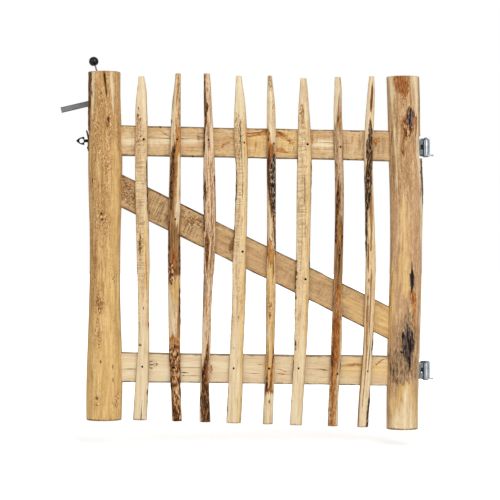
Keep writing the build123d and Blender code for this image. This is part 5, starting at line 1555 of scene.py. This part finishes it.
class GATE_OT_latch(Operator):
    """Finish of the latch lever, its plate and staple, and the plate's screws, with painted shade along the
    bar's top and bottom edges
    """

    bl_idname = "gate.latch"
    bl_label = "Latch"

    def execute(self, context):
        sizes, colours = context.scene.gate_sizes, context.scene.gate_colours
        tones = (colours.zinc, colours.zinc_light, colours.zinc_dark)
        zinc = plated("latch_zinc", tones, dull=0.38, metal=0.8)
        for node in ("latch_plate", "latch_staple", "latch_pivot_bolt", "latch_spacer"):
            refinish(node, zinc)
        greys = (colours.bar_grey, colours.bar_light, colours.bar_dark)
        refinish("latch_stem", plated("latch_grey", greys, dull=0.5, metal=0.5))
        # The latch bar gets painted shade along its top and bottom edges
        across = (-math.sin(LATCH_SLOPE), 0.0, math.cos(LATCH_SLOPE))
        rim = ((LATCH_PIVOT_X, 0.0, LATCH_PIVOT_Z), across)
        refinish("latch_bar", plated("bar_grey", greys, dull=0.5, metal=0.5, rim=rim))
        refinish("ball_knob", painted_black("knob_black", colours.black, dull=0.05, gloss=0.4))
        places = []
        for x in (-LATCH_SCREW_X, LATCH_SCREW_X):
            for z in (-LATCH_SCREW_Z, LATCH_SCREW_Z):
                places.append(((LATCH_PIVOT_X + x, LATCH_PLATE_BACK, LATCH_PIVOT_Z + z), (0.0, 1.0, 0.0)))
        fasten("latch_plate_screws", places, screw_profile(sizes.screw_radius), zinc)
        return {"FINISHED"}


class GATE_OT_padlock(Operator):
    """Finish of the padlock plate and its spade-shaped eye, and the plate's screws"""

    bl_idname = "gate.padlock"
    bl_label = "Padlock eye"

    def execute(self, context):
        black = painted_black("fitting_black", context.scene.gate_colours.black, dull=0.4, gloss=0.16)
        for node in ("padlock_plate", "padlock_eye"):
            refinish(node, black)
        places = [((PADLOCK_PLATE_X, LEAF_Y + y, PADLOCK_Z - PADLOCK_SCREW_DROP), (-1.0, 0.0, 0.0))
                  for y in (-PADLOCK_SCREW_Y, PADLOCK_SCREW_Y)]
        fasten("padlock_plate_screws", places, screw_profile(PADLOCK_SCREW_RADIUS), black)
        return {"FINISHED"}


# Lamps: place, target, size, the stage value that holds the power, and whether matt surfaces take the light
GATE_MIDDLE = (-0.5, 0.0, 0.35)
LAMPS = {
    "key_lamp": ((1.3, -4.2, 3.0), GATE_MIDDLE, 3.2, "key_power", True),
    "fill_lamp": ((-3.6, -3.6, 1.8), GATE_MIDDLE, 3.0, "fill_power", True),
    "back_lamp": ((-0.6, 3.8, 2.6), GATE_MIDDLE, 3.0, "fill_power", True),
    "shine_card": ((2.4, -4.6, 0.5), (-0.2, 0.0, 0.35), 1.7, "card_power", False),
}
SENSOR = 36.0                # camera sensor width in millimetres
FRONT = 0.02                 # the framed width is measured this far before the middle plane
FLOOR_HALF = 40.0
FLOOR_GREY = (0.86, 0.86, 0.86, 1.0)
FLOOR_GLOW_NEAR, FLOOR_GLOW_RISE = 0.42, 0.58        # glow under the gate, and what it gains further off
FLOOR_GLOW_FROM, FLOOR_GLOW_TO = 0.7, 3.0


class GATE_OT_stage(Operator):
    """Camera, pale floor, white surround and soft lamps"""

    bl_idname = "gate.stage"
    bl_label = "Stage"

    def execute(self, context):
        stage = context.scene.gate_stage
        scene = context.scene
        scene.view_settings.view_transform = "Standard"
        camera = bpy.data.objects.new("camera", bpy.data.cameras.new("camera"))
        scene.collection.objects.link(camera)
        camera.location = (stage.middle_x, LEAF_Y - stage.distance, stage.middle_z)
        camera.rotation_euler = (math.pi / 2, 0.0, 0.0)
        camera.data.sensor_width = SENSOR
        camera.data.lens = SENSOR * (stage.distance - FRONT) / stage.frame_width
        scene.camera = camera
        self.floor(scene, stage)
        self.surround(scene, stage.sky)
        for name, (stand, target, size, power, on_matt) in LAMPS.items():
            self.lamp(scene, name, stand, target, size, getattr(stage, power), on_matt)
        return {"FINISHED"}

    def floor(self, scene, stage):
        """A pale floor that glows to the camera alone, less under the gate than further off."""
        z = stage.floor_height
        corners = [(x * FLOOR_HALF, y * FLOOR_HALF, z) for x, y in ((-1, -1), (1, -1), (1, 1), (-1, 1))]
        mesh = bpy.data.meshes.new("floor")
        mesh.from_pydata(corners, [], [(0, 1, 2, 3)])
        floor = bpy.data.objects.new("floor", mesh)
        scene.collection.objects.link(floor)
        finish = Finish("floor_white")
        finish.tree.nodes.clear()
        seen = finish.node("ShaderNodeLightPath", out="Is Camera Ray")
        away = finish.vector("DISTANCE", finish.position(), (stage.middle_x, 0.0, 0.0), out="Value")
        shade = FLOOR_GLOW_NEAR + away.step(FLOOR_GLOW_FROM, FLOOR_GLOW_TO) * FLOOR_GLOW_RISE
        tint = finish.mix(seen * shade, (0.0, 0.0, 0.0), (1.0, 1.0, 1.0))
        glow = finish.node("ShaderNodeEmission", None, {"Color": tint})
        matt = finish.node("ShaderNodeBsdfDiffuse", None, {"Color": FLOOR_GREY})
        both = finish.node("ShaderNodeAddShader", None, {0: matt, 1: glow})
        finish.node("ShaderNodeOutputMaterial", None, {"Surface": both}, out=None)
        mesh.materials.append(finish.material)

    def surround(self, scene, strength):
        """White to the camera, an even pale light to everything else."""
        scene.world = bpy.data.worlds.new("surround")
        sky = Finish("surround", scene.world)
        sky.tree.nodes.clear()
        seen = sky.node("ShaderNodeLightPath", out="Is Camera Ray")
        light = {"Color": (1.0, 1.0, 1.0, 1.0), "Strength": strength + seen * (1.0 - strength)}
        backdrop = sky.node("ShaderNodeBackground", None, light)
        sky.node("ShaderNodeOutputWorld", None, {"Surface": backdrop}, out=None)

    def lamp(self, scene, name, stand, target, size, energy, on_matt):
        """A square area lamp turned to its target."""
        data = bpy.data.lights.new(name, "AREA")
        data.size, data.energy = size, energy
        lamp = bpy.data.objects.new(name, data)
        scene.collection.objects.link(lamp)
        lamp.location = stand
        lamp.rotation_euler = (Vector(target) - Vector(stand)).to_track_quat("-Z", "Y").to_euler()
        lamp.visible_diffuse = on_matt


class GATE_PT_panel(Panel):
    """Lists the gate's pieces"""

    bl_idname = "GATE_PT_panel"
    bl_label = "Garden gate"
    bl_space_type = "VIEW_3D"
    bl_region_type = "UI"
    bl_category = "Gate"

    def draw(self, context):
        for operator in OPERATORS:
            self.layout.operator(operator.bl_idname)
        for group in (context.scene.gate_sizes, context.scene.gate_stage, context.scene.gate_colours):
            box = self.layout.box()
            for key in group.__annotations__:
                box.prop(group, key)


OPERATORS = (GATE_OT_stiles, GATE_OT_boards, GATE_OT_pales, GATE_OT_nails, GATE_OT_hinges, GATE_OT_latch,
             GATE_OT_padlock, GATE_OT_stage)
CLASSES = (GateColours, GateSizes, GateStage, *OPERATORS, GATE_PT_panel)


def register():
    for cls in CLASSES:
        bpy.utils.register_class(cls)
    bpy.types.Scene.gate_colours = PointerProperty(type=GateColours)
    bpy.types.Scene.gate_sizes = PointerProperty(type=GateSizes)
    bpy.types.Scene.gate_stage = PointerProperty(type=GateStage)


def unregister():
    del bpy.types.Scene.gate_stage
    del bpy.types.Scene.gate_sizes
    del bpy.types.Scene.gate_colours
    for cls in reversed(CLASSES):
        bpy.utils.unregister_class(cls)


def main():
    register()
    bpy.ops.gate.stiles()
    bpy.ops.gate.boards()
    bpy.ops.gate.pales()
    bpy.ops.gate.nails()
    bpy.ops.gate.hinges()
    bpy.ops.gate.latch()
    bpy.ops.gate.padlock()
    bpy.ops.gate.stage()


if __name__ == "__main__":
    main()
